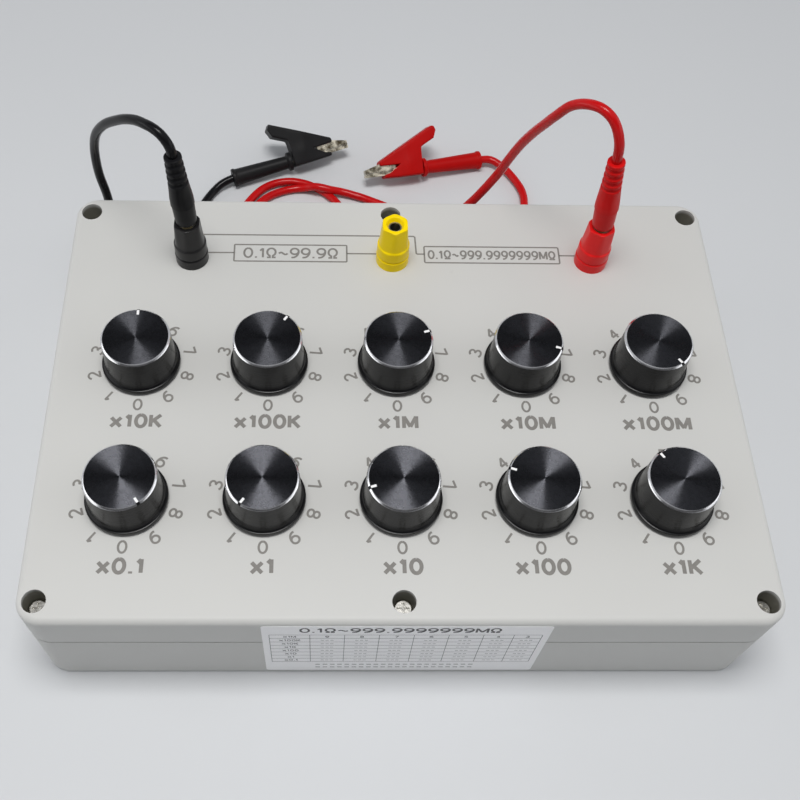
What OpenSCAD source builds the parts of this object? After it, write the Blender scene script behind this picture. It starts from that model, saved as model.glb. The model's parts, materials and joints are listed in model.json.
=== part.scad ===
// Decade resistance box with ten rotary dials, three screw terminals and two plugged test leads.
// Millimetres. The origin is the middle of the underside, +X runs along the front and +Z is up.

/* [Enclosure] */
// Length of the box along the front
box_w = 262; // [255:1:300]
// Depth of the box from front to back
box_d = 186; // [176:1:220]
// Height from the underside to the panel
box_h = 54.5; // [52:0.5:80]
// Height of the base, up to the parting line
base_h = 35; // [30:1:38]
// Thickness of the side walls
wall_t = 3.5; // [3:0.25:4.5]
// Thickness of the panel
panel_t = 3; // [2:0.25:4]
// Thickness of the floor
floor_t = 3; // [2:0.25:5]
// Radius of the upright corners
corner_r = 9; // [8:0.5:11]
// Rounding of the panel's rim
rim_r = 2.5; // [1.5:0.25:3]
// Rounding of the underside's rim
foot_r = 1.5; // [0.75:0.25:2.5]
// Height of the shadow line along the parting
shadow_h = 0.8; // [0.4:0.1:1.2]
// Depth of the shadow line along the parting
shadow_t = 0.5; // [0.3:0.1:0.8]
// Width of the sealing cord in the base's rim
gasket_w = 1.1; // [0.8:0.1:1.2]
// Height of the sealing cord
gasket_h = 1.5; // [1:0.1:3]

/* [Lid screws] */
// Distance of the end wells from the box's ends
well_end = 6.5; // [6.5:0.25:12]
// Distance of all wells from the front and back
well_side = 7.8; // [5.6:0.2:9]
// Diameter of the wells in the panel
well_bore = 8.3; // [7.8:0.1:9]
// Wall round each well
well_wall = 1.5; // [1:0.25:2.5]
// Depth of the wells
well_depth = 9.6; // [8:0.2:12]
// Diameter of the screws' heads
head_d = 7.2; // [6:0.1:7.6]
// Height of the screws' heads
head_h = 2.6; // [2:0.1:3.5]
// Diameter of the screws' shanks
screw_d = 3.5; // [3:0.25:3.5]
// Length of the screws under the head
screw_l = 24; // [22:1:26]
// Outside diameter of the brass inserts
insert_d = 5.2; // [4.8:0.1:5.2]
// Length of the brass inserts
insert_l = 10; // [6:1:12]

/* [Switches] */
// Spacing of the switches along the box
column_pitch = 48.45; // [46:0.05:50]
// Spacing of the two rows
row_pitch = 57.3; // [50:0.1:60]
// Middle of the two rows, behind the middle of the box
rows_y = -18.45; // [-24:0.05:-14]
// Diameter of the switch bodies
switch_d = 27; // [22:0.5:32]
// Depth of the switch bodies under the panel
switch_h = 16; // [12:0.5:17]
// Diameter of the threaded bush
bush_d = 9.4; // [8.5:0.1:10]
// Height of the bush above the panel
bush_h = 6; // [4:0.25:7]
// Hexagon nut, across its flats
nut_af = 12.7; // [11:0.1:14]
// Thickness of the hexagon nut
nut_h = 2.4; // [1.5:0.1:3]
// Diameter of the washer
washer_d = 14.6; // [13:0.1:15]
// Thickness of the washer
washer_t = 0.8; // [0.5:0.1:1.2]
// Diameter of the shaft
shaft_d = 6; // [5:0.25:6.5]

/* [Knobs] */
// Diameter of the knob's flared foot
knob_d = 29.5; // [27:0.25:32]
// Diameter of the waist just above the foot
knob_waist_d = 26.8; // [24:0.25:28]
// Diameter of the knob's top
knob_top_d = 25.6; // [22:0.2:26]
// Height of the knob
knob_h = 17; // [14:0.25:20]
// Height of the straight part of the foot
knob_foot_h = 2; // [1:0.25:3]
// Height of the flare above it
knob_flare_h = 2.2; // [1:0.2:3]
// Width of the bright cut edge round the top
knob_edge = 0.7; // [0.4:0.1:1.2]
// Gap between the knob and the panel
knob_gap = 0.6; // [0.4:0.1:1.5]
// Diameter of the hollow that clears the nut
knob_hollow_d = 18; // [17:0.25:20]
// Length of the shaft inside the knob
knob_grip = 6; // [4:0.5:8]
// Width of the pointer slot
pointer_w = 1.2; // [0.8:0.1:2]
// Length of the pointer slot
pointer_l = 2.8; // [2:0.2:5]
// Depth of the pointer slot
pointer_t = 0.4; // [0.2:0.1:0.6]

/* [Terminals] */
// Spacing of the three terminals
terminal_pitch = 81.2; // [70:0.2:90]
// Distance of the terminals from the back
terminal_back = 31.5; // [26:0.1:34]
// Diameter of the fixed collar
collar_d = 13.2; // [12:0.1:15]
// Height of the fixed collar
collar_h = 4.9; // [3:0.1:6]
// Diameter of the collar's neck through the panel
neck_d = 8; // [7.6:0.1:9]
// Diameter of the stud
stud_d = 6; // [5.6:0.1:6]
// Length of the stud under the panel
stud_tail = 13; // [10:0.5:15]
// Diameter of the 4 mm socket in the stud
socket_d = 4.1; // [4.06:0.01:4.2]
// Depth of the socket
socket_depth = 18.6; // [16:0.2:20]
// Height of the stud above the collar
stud_top = 15; // [13:0.25:16]
// Height of the cap's round skirt
skirt_h = 5.9; // [4:0.1:7]
// Diameter of the cap's skirt
skirt_d = 12.9; // [12:0.1:14]
// Height of the cap's six-sided grip
grip_h = 10.5; // [9:0.1:12]
// Diameter of the cap's top
cap_top_d = 9.8; // [9.4:0.1:11]
// Taper of the grip's six flats, in degrees
grip_taper = 5; // [3:0.5:7]
// Outside diameter of the threaded sleeve in the cap
sleeve_d = 8; // [7.4:0.1:8.2]
// Length of the threaded sleeve
sleeve_l = 9; // [6:0.5:10]
// Diameter of the hole in the cap's top
cap_hole_d = 4.8; // [4.6:0.1:5.4]
// Diameter of the funnel round that hole
funnel_d = 7; // [6:0.1:7.4]
// Depth of the funnel
funnel_h = 2; // [1:0.25:3]
// Terminal nut, across its flats
terminal_nut_af = 10; // [9:0.25:12]
// Thickness of the terminal nut
terminal_nut_h = 3; // [2:0.25:4]
// Thickness of the soldering lug
lug_t = 0.8; // [0.5:0.1:1]

/* [Inside] */
// Length of the circuit board
board_w = 232; // [225:1:236]
// Depth of the circuit board
board_d = 104; // [100:1:112]
// Thickness of the circuit board
board_t = 1.6; // [1:0.2:2.4]
// Length of the switch pins between the switch and the board
pin_l = 4; // [3:0.25:6]
// Diameter of the resistors
resistor_d = 2.4; // [1.6:0.1:3]
// Length of the resistors
resistor_l = 6.5; // [5:0.25:8]
// Spacing of the resistors in a decade
resistor_pitch = 4.2; // [3.2:0.1:4.4]
// Diameter of the wires from the terminals to the board
wire_d = 1.6; // [1:0.1:2]

/* [Leads] */
// Diameter of the leads
cord_d = 3.7; // [3.4:0.1:3.8]
// Length of the plugs' sleeves
plug_l = 34.5; // [30:0.5:42]
// Diameter of the sleeves at the pin end
plug_foot_d = 8.2; // [7.6:0.1:8.6]
// Length of the sleeves below the thin step
plug_foot_l = 10; // [8:0.5:12]
// Largest diameter of the sleeves, above the step
plug_d = 9.2; // [8.8:0.1:9.6]
// Diameter of the sleeves at the cord end
plug_end_d = 6.3; // [5.4:0.1:7]
// Length of the ribbed strain relief
relief_l = 14; // [10:0.5:15]
// Gap between the cap and the plug's sleeve
plug_gap = 1.2; // [1.1:0.1:3]
// Diameter of the plug's pin
plug_pin_d = 4; // [3.9:0.01:4]
// Length of the plug's pin below the sleeve
plug_pin_l = 19; // [16:0.5:20]
// Lean of the black plug's sleeve, in degrees
black_lean = 2; // [0:0.5:6]
// Lean of the red plug's sleeve, in degrees
red_lean = 5; // [0:0.5:6]
// Mean radius of the red lead's loose loop
loop_r = 26; // [25:0.5:29]
// Width of the loop's bundle
loop_w = 9; // [7.6:0.2:10]
// Height of the loop's bundle
loop_h = 7.4; // [7.4:0.1:9]
// Length of the black lead's folded hank
hank_l = 61; // [56:1:62]
// Width of the hank between the middles of its runs
hank_w = 22; // [20:0.5:24]
// Height of the hank
hank_h = 12; // [11.2:0.1:12]

/* [Clips] */
// Length of the boot's barrel
barrel_l = 30; // [26:0.5:34]
// Diameter of the barrel at the cord end
barrel_d = 8; // [7.4:0.1:8.4]
// Diameter of the barrel at the flange
barrel_neck_d = 6.4; // [6.2:0.1:7.2]
// Bore of the barrel
barrel_bore = 5; // [4.6:0.1:5.4]
// Diameter of the flange between barrel and head
flange_d = 9; // [8.4:0.1:10.6]
// Thickness of the flange and of the barrel's end rim
flange_t = 1.5; // [1:0.1:2]
// Reach of the jaws in front of the flange
jaw_reach = 29.5; // [26:0.5:32]
// Reach of the boot's lower lip in front of the flange
nose_reach = 20; // [18:0.5:21]
// Reach of the lever's upper lip in front of the flange
brow_reach = 21.6; // [20:0.2:22]
// Reach of the lever behind the flange
lever_reach = 6.4; // [5:0.2:12]
// Slope of the lever, in degrees
lever_slope = 26.4; // [25:0.2:28]
// Height of the boot's nose above the jaws' line
nose_top = 6.4; // [6:0.1:7]
// Depth of the lever's side walls
lever_t = 6.4; // [4:0.2:7]
// Thickness of the boot across its head
head_w = 10.4; // [10.2:0.1:11]
// Thickness of the boot across its nose
nose_w = 7.2; // [7:0.1:8]
// Wall of the boot
boot_t = 1; // [0.8:0.05:1.1]
// Sheet thickness of the jaws
sheet_t = 0.5; // [0.4:0.05:0.6]
// Width of the jaws
jaw_w = 5; // [4.6:0.1:5]
// Width of the jaws at the tip
tip_w = 3.2; // [2.6:0.1:4]
// Height of one jaw at the tip
tip_h = 1.5; // [1.2:0.1:2]
// Spacing of the teeth
tooth_pitch = 1.4; // [1.2:0.1:1.8]
// Height of the teeth
tooth_h = 0.6; // [0.4:0.05:0.8]
// Diameter of the pivot pin
pivot_d = 2; // [1.6:0.1:2.2]
// Wire of the torsion spring
spring_wire = 0.7; // [0.5:0.05:0.8]

/* [Hidden] */
$fn = 48;

DECADES = ["tenths", "ones", "tens", "hundreds", "1k", "10k", "100k", "1m", "10m", "100m"];
// Digit that each knob points at
SETTINGS = [9, 1, 2, 3, 4, 5, 6, 7, 8, 9];
COLOURS = ["black", "yellow", "red"];
INKS = [[0.12, 0.12, 0.13], [0.86, 0.72, 0.08], [0.75, 0.12, 0.12]];
LEADS = ["black", "red"];

// Clearance of parts that turn or slide in each other, and of parts that only sit beside each other
run_gap = 0.05;
seat_gap = 0.02;
free_gap = 0.3;
// Overlap of a cut past the face that it opens
cut = 1;

lid_h = box_h - base_h;
ceiling_z = box_h - panel_t;
well_floor_z = box_h - well_depth;
well_xy = [for (x = [-1, 0, 1], y = [-1, 1]) [x * (box_w / 2 - well_end), y * (box_d / 2 - well_side)]];

// Each decade's column and row: the small ones in front, from left to right
function switch_at(i) = [(i % 5 - 2) * column_pitch, rows_y + (i < 5 ? -0.5 : 0.5) * row_pitch];
bush_top_z = box_h + bush_h;
nut_top_z = box_h + washer_t + nut_h;
knob_z = box_h + knob_gap;
knob_hollow_h = bush_top_z - knob_z + free_gap;
shaft_top_z = knob_z + knob_hollow_h + knob_grip;
shaft_foot_z = ceiling_z - switch_h + 2;
board_top_z = ceiling_z - switch_h - pin_l;
switch_pin_ring = switch_d / 2 - 3.5;
switch_pin_d = 1;

// Terminals, from the panel up
terminal_y = box_d / 2 - terminal_back;
function terminal_at(i) = [(i - 1) * terminal_pitch, terminal_y];
collar_top_z = box_h + collar_h;
stud_top_z = collar_top_z + stud_top;
stud_seat_d = stud_d + 3;
stud_seat_h = 1;
cap_z = collar_top_z + free_gap;
cap_h = skirt_h + grip_h;
cap_top_z = cap_z + cap_h;
cap_recess_h = stud_seat_h + 0.5;
sleeve_z = cap_z + cap_recess_h + free_gap;
lug_l = 11;
lug_w = 6;
wire_z = ceiling_z - lug_t - wire_d / 2;

// Leads: the black terminal is the first and the red one the last
function lead_terminal(i) = terminal_at(i == 0 ? 0 : 2);
lead_lean = [black_lean, red_lean];
plug_z = cap_top_z + plug_gap;
// Length of the pin inside the sleeve
pin_seat = 5;
cord_sides = 8;
// Routes of the leads, from plug to bundle and from bundle to clip
near_routes = [
    [[-82.4, 61.5, 111.9], [-82.5, 61.5, 112.9], [-83, 61.9, 115.8], [-84.4, 62.9, 118.4],
     [-86.4, 64.4, 120.1], [-88.9, 66.3, 120.7], [-91.4, 68.4, 120.2], [-95.5, 72.6, 118],
     [-100.3, 77.3, 114], [-105, 81.8, 109], [-111.5, 87.8, 101], [-117, 93.2, 91], [-120, 96.8, 81],
     [-121.5, 98.8, 70.5], [-122, 100.2, 60], [-121.4, 101, 49.5], [-121.6, 102, 40.3],
     [-123.4, 103.3, 31.8], [-126, 104.5, 25.4], [-128, 106, 20], [-128.9, 108.5, 16.2],
     [-128.4, 112.6, 14.2]],
    [[78.2, 61.5, 111.8], [77.3, 61.9, 119.5], [75.2, 63.9, 125.5], [72.6, 66.1, 128.8], [69, 69.3, 129.8],
     [64.6, 73.2, 127.8], [60.8, 76.9, 123.3], [57.6, 80, 116.1], [55.5, 83.4, 109], [52.8, 88.7, 98.5],
     [50.2, 93.4, 87.5], [47.8, 97.2, 76], [45.2, 99.6, 65], [40.8, 100.7, 54], [36, 101.6, 44],
     [31.6, 103.8, 35], [26, 107.2, 27], [19, 111.9, 19], [10.8, 115.6, 10.7], [1.4, 116.6, 4.9],
     [-9, 114.5, 2.3]]];
far_routes = [
    [[-102, 119, 2.1], [-95.8, 121.6, 2.1], [-91, 127.2, 2.1], [-87.8, 133.6, 2.1], [-84.9, 139.7, 2.1],
     [-81.9, 144.7, 2.4], [-78, 148.6, 3.5], [-72.6, 151.4, 4.52], [-67.9, 153.1, 4.8]],
    [[-20.1, 144.8, 2.1], [-10.2, 142.2, 2.1], [-0.4, 137.6, 2.1], [9.5, 132.4, 2.1], [20.3, 127.5, 2.1],
     [32.2, 123.5, 2.1], [44, 121.6, 2.1], [54.8, 122.6, 2.1], [63.7, 127, 2.1], [68.8, 134, 2.1],
     [70.3, 141, 2.1], [69.7, 147.4, 2.1], [67.3, 153.4, 2.3], [63.9, 158.8, 2.8], [59.9, 163, 3.6],
     [55, 165.9, 4.2], [49.6, 165.4, 4.52], [44.8, 164.2, 4.8]]];
loop_at = [-41.8, 124.3];
hank_at = [-100.4, 108];

// Clips, in their own frame: +X runs from the flange to the tip, +Y is the lever's side
clip_at = [[-44.4, 161.5, 6.2], [20.5, 158.2, 6.2]];
clip_heading = [19.7, 193.9];
clip_roll = [40, 140];
// Lift of the tips, so that head and barrel both rest on the bench
clip_pitch = 3.2;
pivot_at = [8, 3.2];
slot_reach = 12;
slot_y = 2.7;
wall_x = 1.4;
bite = 0.15;
ear_r = 2;
teeth_from = 14;
roof_rise = tan(lever_slope);
function roof(x) = nose_top + (nose_reach - x) * roof_rise;

// Rounded rectangle of the given length, width and corner radius
module plan(l, w, r) {
    square([l - 2 * r, w], center = true);
    square([l, w - 2 * r], center = true);
    for (x = [-1, 1], y = [-1, 1])
        translate([x * (l / 2 - r), y * (w / 2 - r)])
            circle(r);
}

// Upright section of a block with a rim of radius e along its top edges
module rim_section(w, h, e) {
    translate([0, (h - e) / 2])
        square([w, h - e], center = true);
    translate([0, h / 2])
        square([w - 2 * e, h], center = true);
    for (x = [-1, 1])
        translate([x * (w / 2 - e), h - e])
            circle(e);
}

// Upright block with rounded corners, and a rim of radius e round its top
module rimmed_block(l, w, h, r, e) {
    rotate([90, 0, 90])
        linear_extrude(l - 2 * r, center = true)
            rim_section(w, h, e);
    rotate([90, 0, 0])
        linear_extrude(w - 2 * r, center = true)
            rim_section(l, h, e);
    for (x = [-1, 1], y = [-1, 1])
        translate([x * (l / 2 - r), y * (w / 2 - r), 0])
            rotate_extrude()
                intersection() {
                    rim_section(2 * r, h, e);
                    square([r, h]);
                }
}

// Band between two outlines inset from the box's outside
module wall_band(from, to, h) {
    linear_extrude(h)
        difference() {
            plan(box_w - 2 * from, box_d - 2 * from, corner_r - from);
            plan(box_w - 2 * to, box_d - 2 * to, corner_r - to);
        }
}

module hollow(h) {
    linear_extrude(h)
        plan(box_w - 2 * wall_t, box_d - 2 * wall_t, corner_r - wall_t);
}

// Pillars round the lid screws, trimmed to the box's outline
module pillars(h) {
    intersection() {
        linear_extrude(h)
            plan(box_w, box_d, corner_r);
        for (p = well_xy)
            translate(p)
                cylinder(d = well_bore + 2 * well_wall, h = h);
    }
}

module at_wells(z) {
    for (p = well_xy)
        translate([p[0], p[1], z])
            children();
}

module shadow_cut(z) {
    translate([0, 0, z])
        wall_band(-cut, shadow_t, shadow_h / 2 + cut);
}

// Base: an open tray with pillars for the brass inserts and a groove for the sealing cord
module base_box() {
    color([0.72, 0.72, 0.7])
        difference() {
            union() {
                difference() {
                    translate([0, 0, base_h])
                        mirror([0, 0, 1])
                            rimmed_block(box_w, box_d, base_h, corner_r, foot_r);
                    translate([0, 0, floor_t])
                        hollow(base_h);
                }
                translate([0, 0, floor_t])
                    pillars(base_h - floor_t);
            }
            at_wells(base_h - insert_l)
                cylinder(d = insert_d + 2 * seat_gap, h = insert_l + cut);
            at_wells(well_floor_z - screw_l - free_gap)
                cylinder(d = screw_d + 2 * free_gap, h = screw_l);
            translate([0, 0, base_h - gasket_h])
                wall_band(wall_t / 2 - gasket_w / 2 - run_gap, wall_t / 2 + gasket_w / 2 + run_gap,
                    gasket_h + cut);
            shadow_cut(base_h - shadow_h / 2);
        }
}

// Lid: the panel with its rim, screw wells, and holes for the switches and terminals
module lid() {
    color([0.79, 0.79, 0.77])
        difference() {
            union() {
                difference() {
                    translate([0, 0, base_h])
                        rimmed_block(box_w, box_d, lid_h, corner_r, rim_r);
                    translate([0, 0, base_h - cut])
                        hollow(lid_h - panel_t + cut);
                }
                translate([0, 0, base_h])
                    pillars(lid_h - panel_t);
            }
            at_wells(well_floor_z)
                cylinder(d = well_bore, h = well_depth + cut);
            at_wells(base_h - cut)
                cylinder(d = screw_d + 2 * free_gap, h = box_h);
            for (i = [0 : len(DECADES) - 1])
                translate(concat(switch_at(i), ceiling_z - cut))
                    cylinder(d = bush_d + 2 * run_gap, h = panel_t + 2 * cut);
            for (i = [0 : 2])
                translate(concat(terminal_at(i), ceiling_z - cut))
                    cylinder(d = neck_d + 2 * run_gap, h = panel_t + 2 * cut);
            shadow_cut(base_h - cut);
        }
}

module gasket() {
    color([0.2, 0.2, 0.2])
        translate([0, 0, base_h - gasket_h])
            wall_band(wall_t / 2 - gasket_w / 2, wall_t / 2 + gasket_w / 2, gasket_h);
}

// Pan-head screws with a cross recess
module lid_screws() {
    recess_w = 1.1;
    recess_l = 4.4;
    recess_t = 1.5;
    dome = 0.8;
    color([0.75, 0.75, 0.76])
        at_wells(well_floor_z)
            difference() {
                union() {
                    cylinder(d = head_d, h = head_h - dome);
                    translate([0, 0, head_h - dome])
                        cylinder(d1 = head_d, d2 = head_d - 2 * dome, h = dome);
                    translate([0, 0, -screw_l])
                        cylinder(d = screw_d, h = screw_l + dome);
                }
                for (a = [0, 90])
                    rotate([0, 0, a])
                        translate([-recess_l / 2, -recess_w / 2, head_h - recess_t])
                            cube([recess_l, recess_w, recess_t + cut]);
            }
}

module thread_inserts() {
    color([0.76, 0.6, 0.3])
        at_wells(base_h - insert_l)
            difference() {
                cylinder(d = insert_d, h = insert_l);
                translate([0, 0, -cut])
                    cylinder(d = screw_d + 2 * run_gap, h = insert_l + 2 * cut);
            }
}

// Ten-way rotary switches: round body, threaded bush through the panel and a ring of soldering pins
module switch_bodies() {
    color([0.16, 0.2, 0.3])
        for (i = [0 : len(DECADES) - 1])
            translate(switch_at(i))
                difference() {
                    union() {
                        translate([0, 0, ceiling_z - switch_h])
                            cylinder(d = switch_d, h = switch_h);
                        translate([0, 0, ceiling_z - cut])
                            cylinder(d = bush_d, h = panel_t + bush_h + cut);
                        for (a = [0 : 36 : 324])
                            rotate([0, 0, a])
                                translate([switch_pin_ring, 0, board_top_z])
                                    cylinder(d = switch_pin_d, h = pin_l + cut);
                    }
                    translate([0, 0, shaft_foot_z - run_gap])
                        cylinder(d = shaft_d + 2 * run_gap, h = box_h);
                }
}

// Washer and hexagon nut that clamp each switch to the panel
module switch_nuts() {
    color([0.7, 0.7, 0.68])
        for (i = [0 : len(DECADES) - 1])
            translate(concat(switch_at(i), box_h)) {
                difference() {
                    cylinder(d = washer_d, h = washer_t);
                    translate([0, 0, -cut])
                        cylinder(d = bush_d + 2 * run_gap, h = washer_t + 2 * cut);
                }
                translate([0, 0, washer_t + seat_gap])
                    difference() {
                        cylinder(d = nut_af / cos(30), h = nut_h, $fn = 6);
                        translate([0, 0, -cut])
                            cylinder(d = bush_d + 2 * run_gap, h = nut_h + 2 * cut, $fn = 48);
                    }
            }
}

// Board that the switches are soldered to
module circuit_board() {
    color([0.12, 0.36, 0.2])
        translate([-board_w / 2, rows_y - board_d / 2, board_top_z - board_t])
            cube([board_w, board_d, board_t]);
}

// Nine equal resistors for each decade, in a row on the board's underside
module resistors() {
    color([0.45, 0.6, 0.75])
        for (i = [0 : len(DECADES) - 1], k = [-4 : 4])
            translate(concat(switch_at(i) + [k * resistor_pitch, -resistor_l / 2],
                board_top_z - board_t - resistor_d / 2 - seat_gap))
                rotate([-90, 0, 0])
                    cylinder(d = resistor_d, h = resistor_l);
}

// Wires from the terminals' lugs to the back edge of the board
module link_wires() {
    wire_y = rows_y + board_d / 2 - 3;
    lug_y = terminal_y - lug_l + wire_d;
    color([0.6, 0.15, 0.15])
        for (i = [0 : 2])
            translate([terminal_at(i)[0], 0, 0]) {
                translate([0, wire_y, wire_z])
                    rotate([-90, 0, 0])
                        cylinder(d = wire_d, h = lug_y - wire_y);
                translate([0, wire_y, wire_z])
                    sphere(d = wire_d);
                translate([0, wire_y, board_top_z])
                    cylinder(d = wire_d, h = wire_z - board_top_z);
            }
}

// Plated studs: a clamping seat on the collar, the 4 mm socket above and the thread below the panel
module terminal_studs() {
    color([0.72, 0.7, 0.64])
        for (i = [0 : 2])
            translate(terminal_at(i))
                difference() {
                    union() {
                        translate([0, 0, ceiling_z - stud_tail])
                            cylinder(d = stud_d, h = stud_top_z - ceiling_z + stud_tail);
                        translate([0, 0, collar_top_z])
                            cylinder(d = stud_seat_d, h = stud_seat_h);
                    }
                    translate([0, 0, stud_top_z - socket_depth])
                        cylinder(d = socket_d, h = socket_depth + cut);
                }
}

// Soldering lug and hexagon nut under the panel
module terminal_nuts() {
    color([0.75, 0.72, 0.6])
        for (i = [0 : 2])
            translate(terminal_at(i)) {
                translate([0, 0, ceiling_z - lug_t])
                    difference() {
                        union() {
                            cylinder(d = terminal_nut_af, h = lug_t);
                            translate([-lug_w / 2, -lug_l, 0])
                                cube([lug_w, lug_l, lug_t]);
                        }
                        translate([0, 0, -cut])
                            cylinder(d = stud_d + 2 * run_gap, h = lug_t + 2 * cut);
                    }
                translate([0, 0, ceiling_z - lug_t - terminal_nut_h - seat_gap])
                    difference() {
                        cylinder(d = terminal_nut_af / cos(30), h = terminal_nut_h, $fn = 6);
                        translate([0, 0, -cut])
                            cylinder(d = stud_d + 2 * run_gap, h = terminal_nut_h + 2 * cut, $fn = 48);
                    }
            }
}

// Fixed collar of a terminal, with a neck that insulates the stud from the panel
module terminal_collar(i) {
    bevel = 0.6;
    color(INKS[i])
        translate(terminal_at(i))
            difference() {
                union() {
                    translate([0, 0, box_h])
                        cylinder(d = collar_d, h = collar_h - bevel);
                    translate([0, 0, collar_top_z - bevel])
                        cylinder(d1 = collar_d, d2 = collar_d - 2 * bevel, h = bevel);
                    translate([0, 0, ceiling_z])
                        cylinder(d = neck_d, h = panel_t + bevel);
                }
                translate([0, 0, ceiling_z - cut])
                    cylinder(d = stud_d + 2 * run_gap, h = panel_t + collar_h + 2 * cut);
            }
}

// Threaded sleeve that rides on the stud inside the cap
module terminal_sleeve(i) {
    color([0.76, 0.6, 0.3])
        translate(concat(terminal_at(i), sleeve_z))
            difference() {
                cylinder(d = sleeve_d, h = sleeve_l);
                translate([0, 0, -cut])
                    cylinder(d = stud_d + 2 * run_gap, h = sleeve_l + 2 * cut);
            }
}

// Screw cap: round skirt, six tapered flats for the fingers and a funnel that leads the plug in
module terminal_cap(i) {
    grip_d = skirt_d - 0.8;
    skirt_bevel = 0.8;
    bore_top = sleeve_z + sleeve_l + free_gap - cap_z;
    color(INKS[i])
        translate(concat(terminal_at(i), cap_z))
            difference() {
                union() {
                    cylinder(d = skirt_d, h = skirt_h - skirt_bevel);
                    translate([0, 0, skirt_h - skirt_bevel])
                        cylinder(d1 = skirt_d, d2 = skirt_d - 2 * skirt_bevel, h = skirt_bevel);
                    difference() {
                        translate([0, 0, skirt_h - skirt_bevel])
                            cylinder(d1 = grip_d, d2 = cap_top_d + 0.8, h = grip_h + skirt_bevel);
                        for (a = [0 : 60 : 300])
                            rotate([0, 0, a])
                                translate([cap_top_d / 2, -skirt_d, cap_h])
                                    rotate([0, -grip_taper, 0])
                                        translate([0, 0, -grip_h])
                                            cube([skirt_d, 2 * skirt_d, 2 * grip_h]);
                    }
                }
                translate([0, 0, -cut])
                    cylinder(d = stud_seat_d + 2 * free_gap, h = cap_recess_h + cut);
                translate([0, 0, -cut])
                    cylinder(d = sleeve_d + 2 * run_gap, h = bore_top + cut);
                cylinder(d = stud_d + 2 * free_gap, h = stud_top_z + free_gap - cap_z);
                cylinder(d = cap_hole_d, h = cap_h + cut);
                translate([0, 0, cap_h - funnel_h])
                    cylinder(d1 = cap_hole_d, d2 = funnel_d, h = funnel_h + 0.01);
            }
}

// Knob: turned body with a flared foot, a bright cut edge, a pointer slot and a hollow over the nut
module knob(i) {
    waist_z = knob_foot_h + knob_flare_h;
    color([0.1, 0.1, 0.11])
        translate(concat(switch_at(i), knob_z))
            difference() {
                rotate_extrude()
                    polygon([
                        [knob_hollow_d / 2, 0], [knob_d / 2 - 0.3, 0], [knob_d / 2, 0.3],
                        [knob_d / 2, knob_foot_h], [knob_waist_d / 2 + 0.5, waist_z - 0.8],
                        [knob_waist_d / 2, waist_z], [knob_top_d / 2, knob_h - knob_edge],
                        [knob_top_d / 2 - knob_edge, knob_h], [shaft_d / 2, knob_h],
                        [0, knob_h], [0, knob_hollow_h], [knob_hollow_d / 2, knob_hollow_h]]);
                translate([0, 0, knob_hollow_h - cut])
                    cylinder(d = shaft_d + 2 * seat_gap, h = knob_grip + cut + seat_gap);
                rotate([0, 0, -90 - 36 * SETTINGS[i]])
                    translate([knob_top_d / 2 - pointer_l, -pointer_w / 2, knob_h - pointer_t])
                        cube([pointer_l + cut, pointer_w, pointer_t + cut]);
            }
}

module shaft(i) {
    color([0.7, 0.7, 0.7])
        translate(concat(switch_at(i), shaft_foot_z))
            cylinder(d = shaft_d, h = shaft_top_z - shaft_foot_z);
}

// Moulded sleeve of a plug: a slim body, then a strain relief with rings
module plug_sleeve(i) {
    rings = 5;
    ring_pitch = relief_l / (rings + 0.5);
    ring_h = ring_pitch * 0.55;
    ring_d = plug_end_d + 1.4;
    ring_step = (ring_d - plug_end_d) / rings;
    body_l = plug_l - relief_l;
    belly_l = 4;
    stem_d = cord_d + 1.4;
    plug_lip = 3;
    step_t = 0.2;
    color(INKS[i == 0 ? 0 : 2])
        translate(concat(lead_terminal(i), plug_z))
            difference() {
                rotate([0, -lead_lean[i], 0]) {
                    cylinder(d1 = plug_foot_d, d2 = plug_foot_d + 2 * step_t, h = plug_lip);
                    translate([0, 0, plug_lip])
                        cylinder(d1 = plug_foot_d + 2 * step_t, d2 = plug_d - 2 * step_t,
                            h = plug_foot_l - plug_lip);
                    translate([0, 0, plug_foot_l])
                        cylinder(d = plug_d, h = belly_l);
                    translate([0, 0, plug_foot_l + belly_l])
                        cylinder(d1 = plug_d, d2 = ring_d, h = body_l - plug_foot_l - belly_l);
                    translate([0, 0, body_l])
                        cylinder(d = stem_d, h = relief_l);
                    for (k = [0 : rings - 1])
                        translate([0, 0, body_l + (k + 0.5) * ring_pitch])
                            cylinder(d1 = ring_d - k * ring_step, d2 = ring_d - (k + 1) * ring_step,
                                h = ring_h);
                    translate([0, 0, plug_l - ring_h])
                        cylinder(d = plug_end_d, h = ring_h);
                }
                translate([0, 0, -cut])
                    cylinder(d = plug_pin_d + 2 * seat_gap, h = pin_seat + free_gap + cut);
            }
}

// 4 mm pin of a plug, with a rounded tip
module plug_pin(i) {
    tip_r = plug_pin_d / 2;
    color([0.8, 0.74, 0.5])
        translate(concat(lead_terminal(i), plug_z)) {
            translate([0, 0, -plug_pin_l + tip_r])
                cylinder(d = plug_pin_d, h = plug_pin_l - tip_r + pin_seat);
            translate([0, 0, -plug_pin_l + tip_r])
                sphere(r = tip_r);
        }
}

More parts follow.
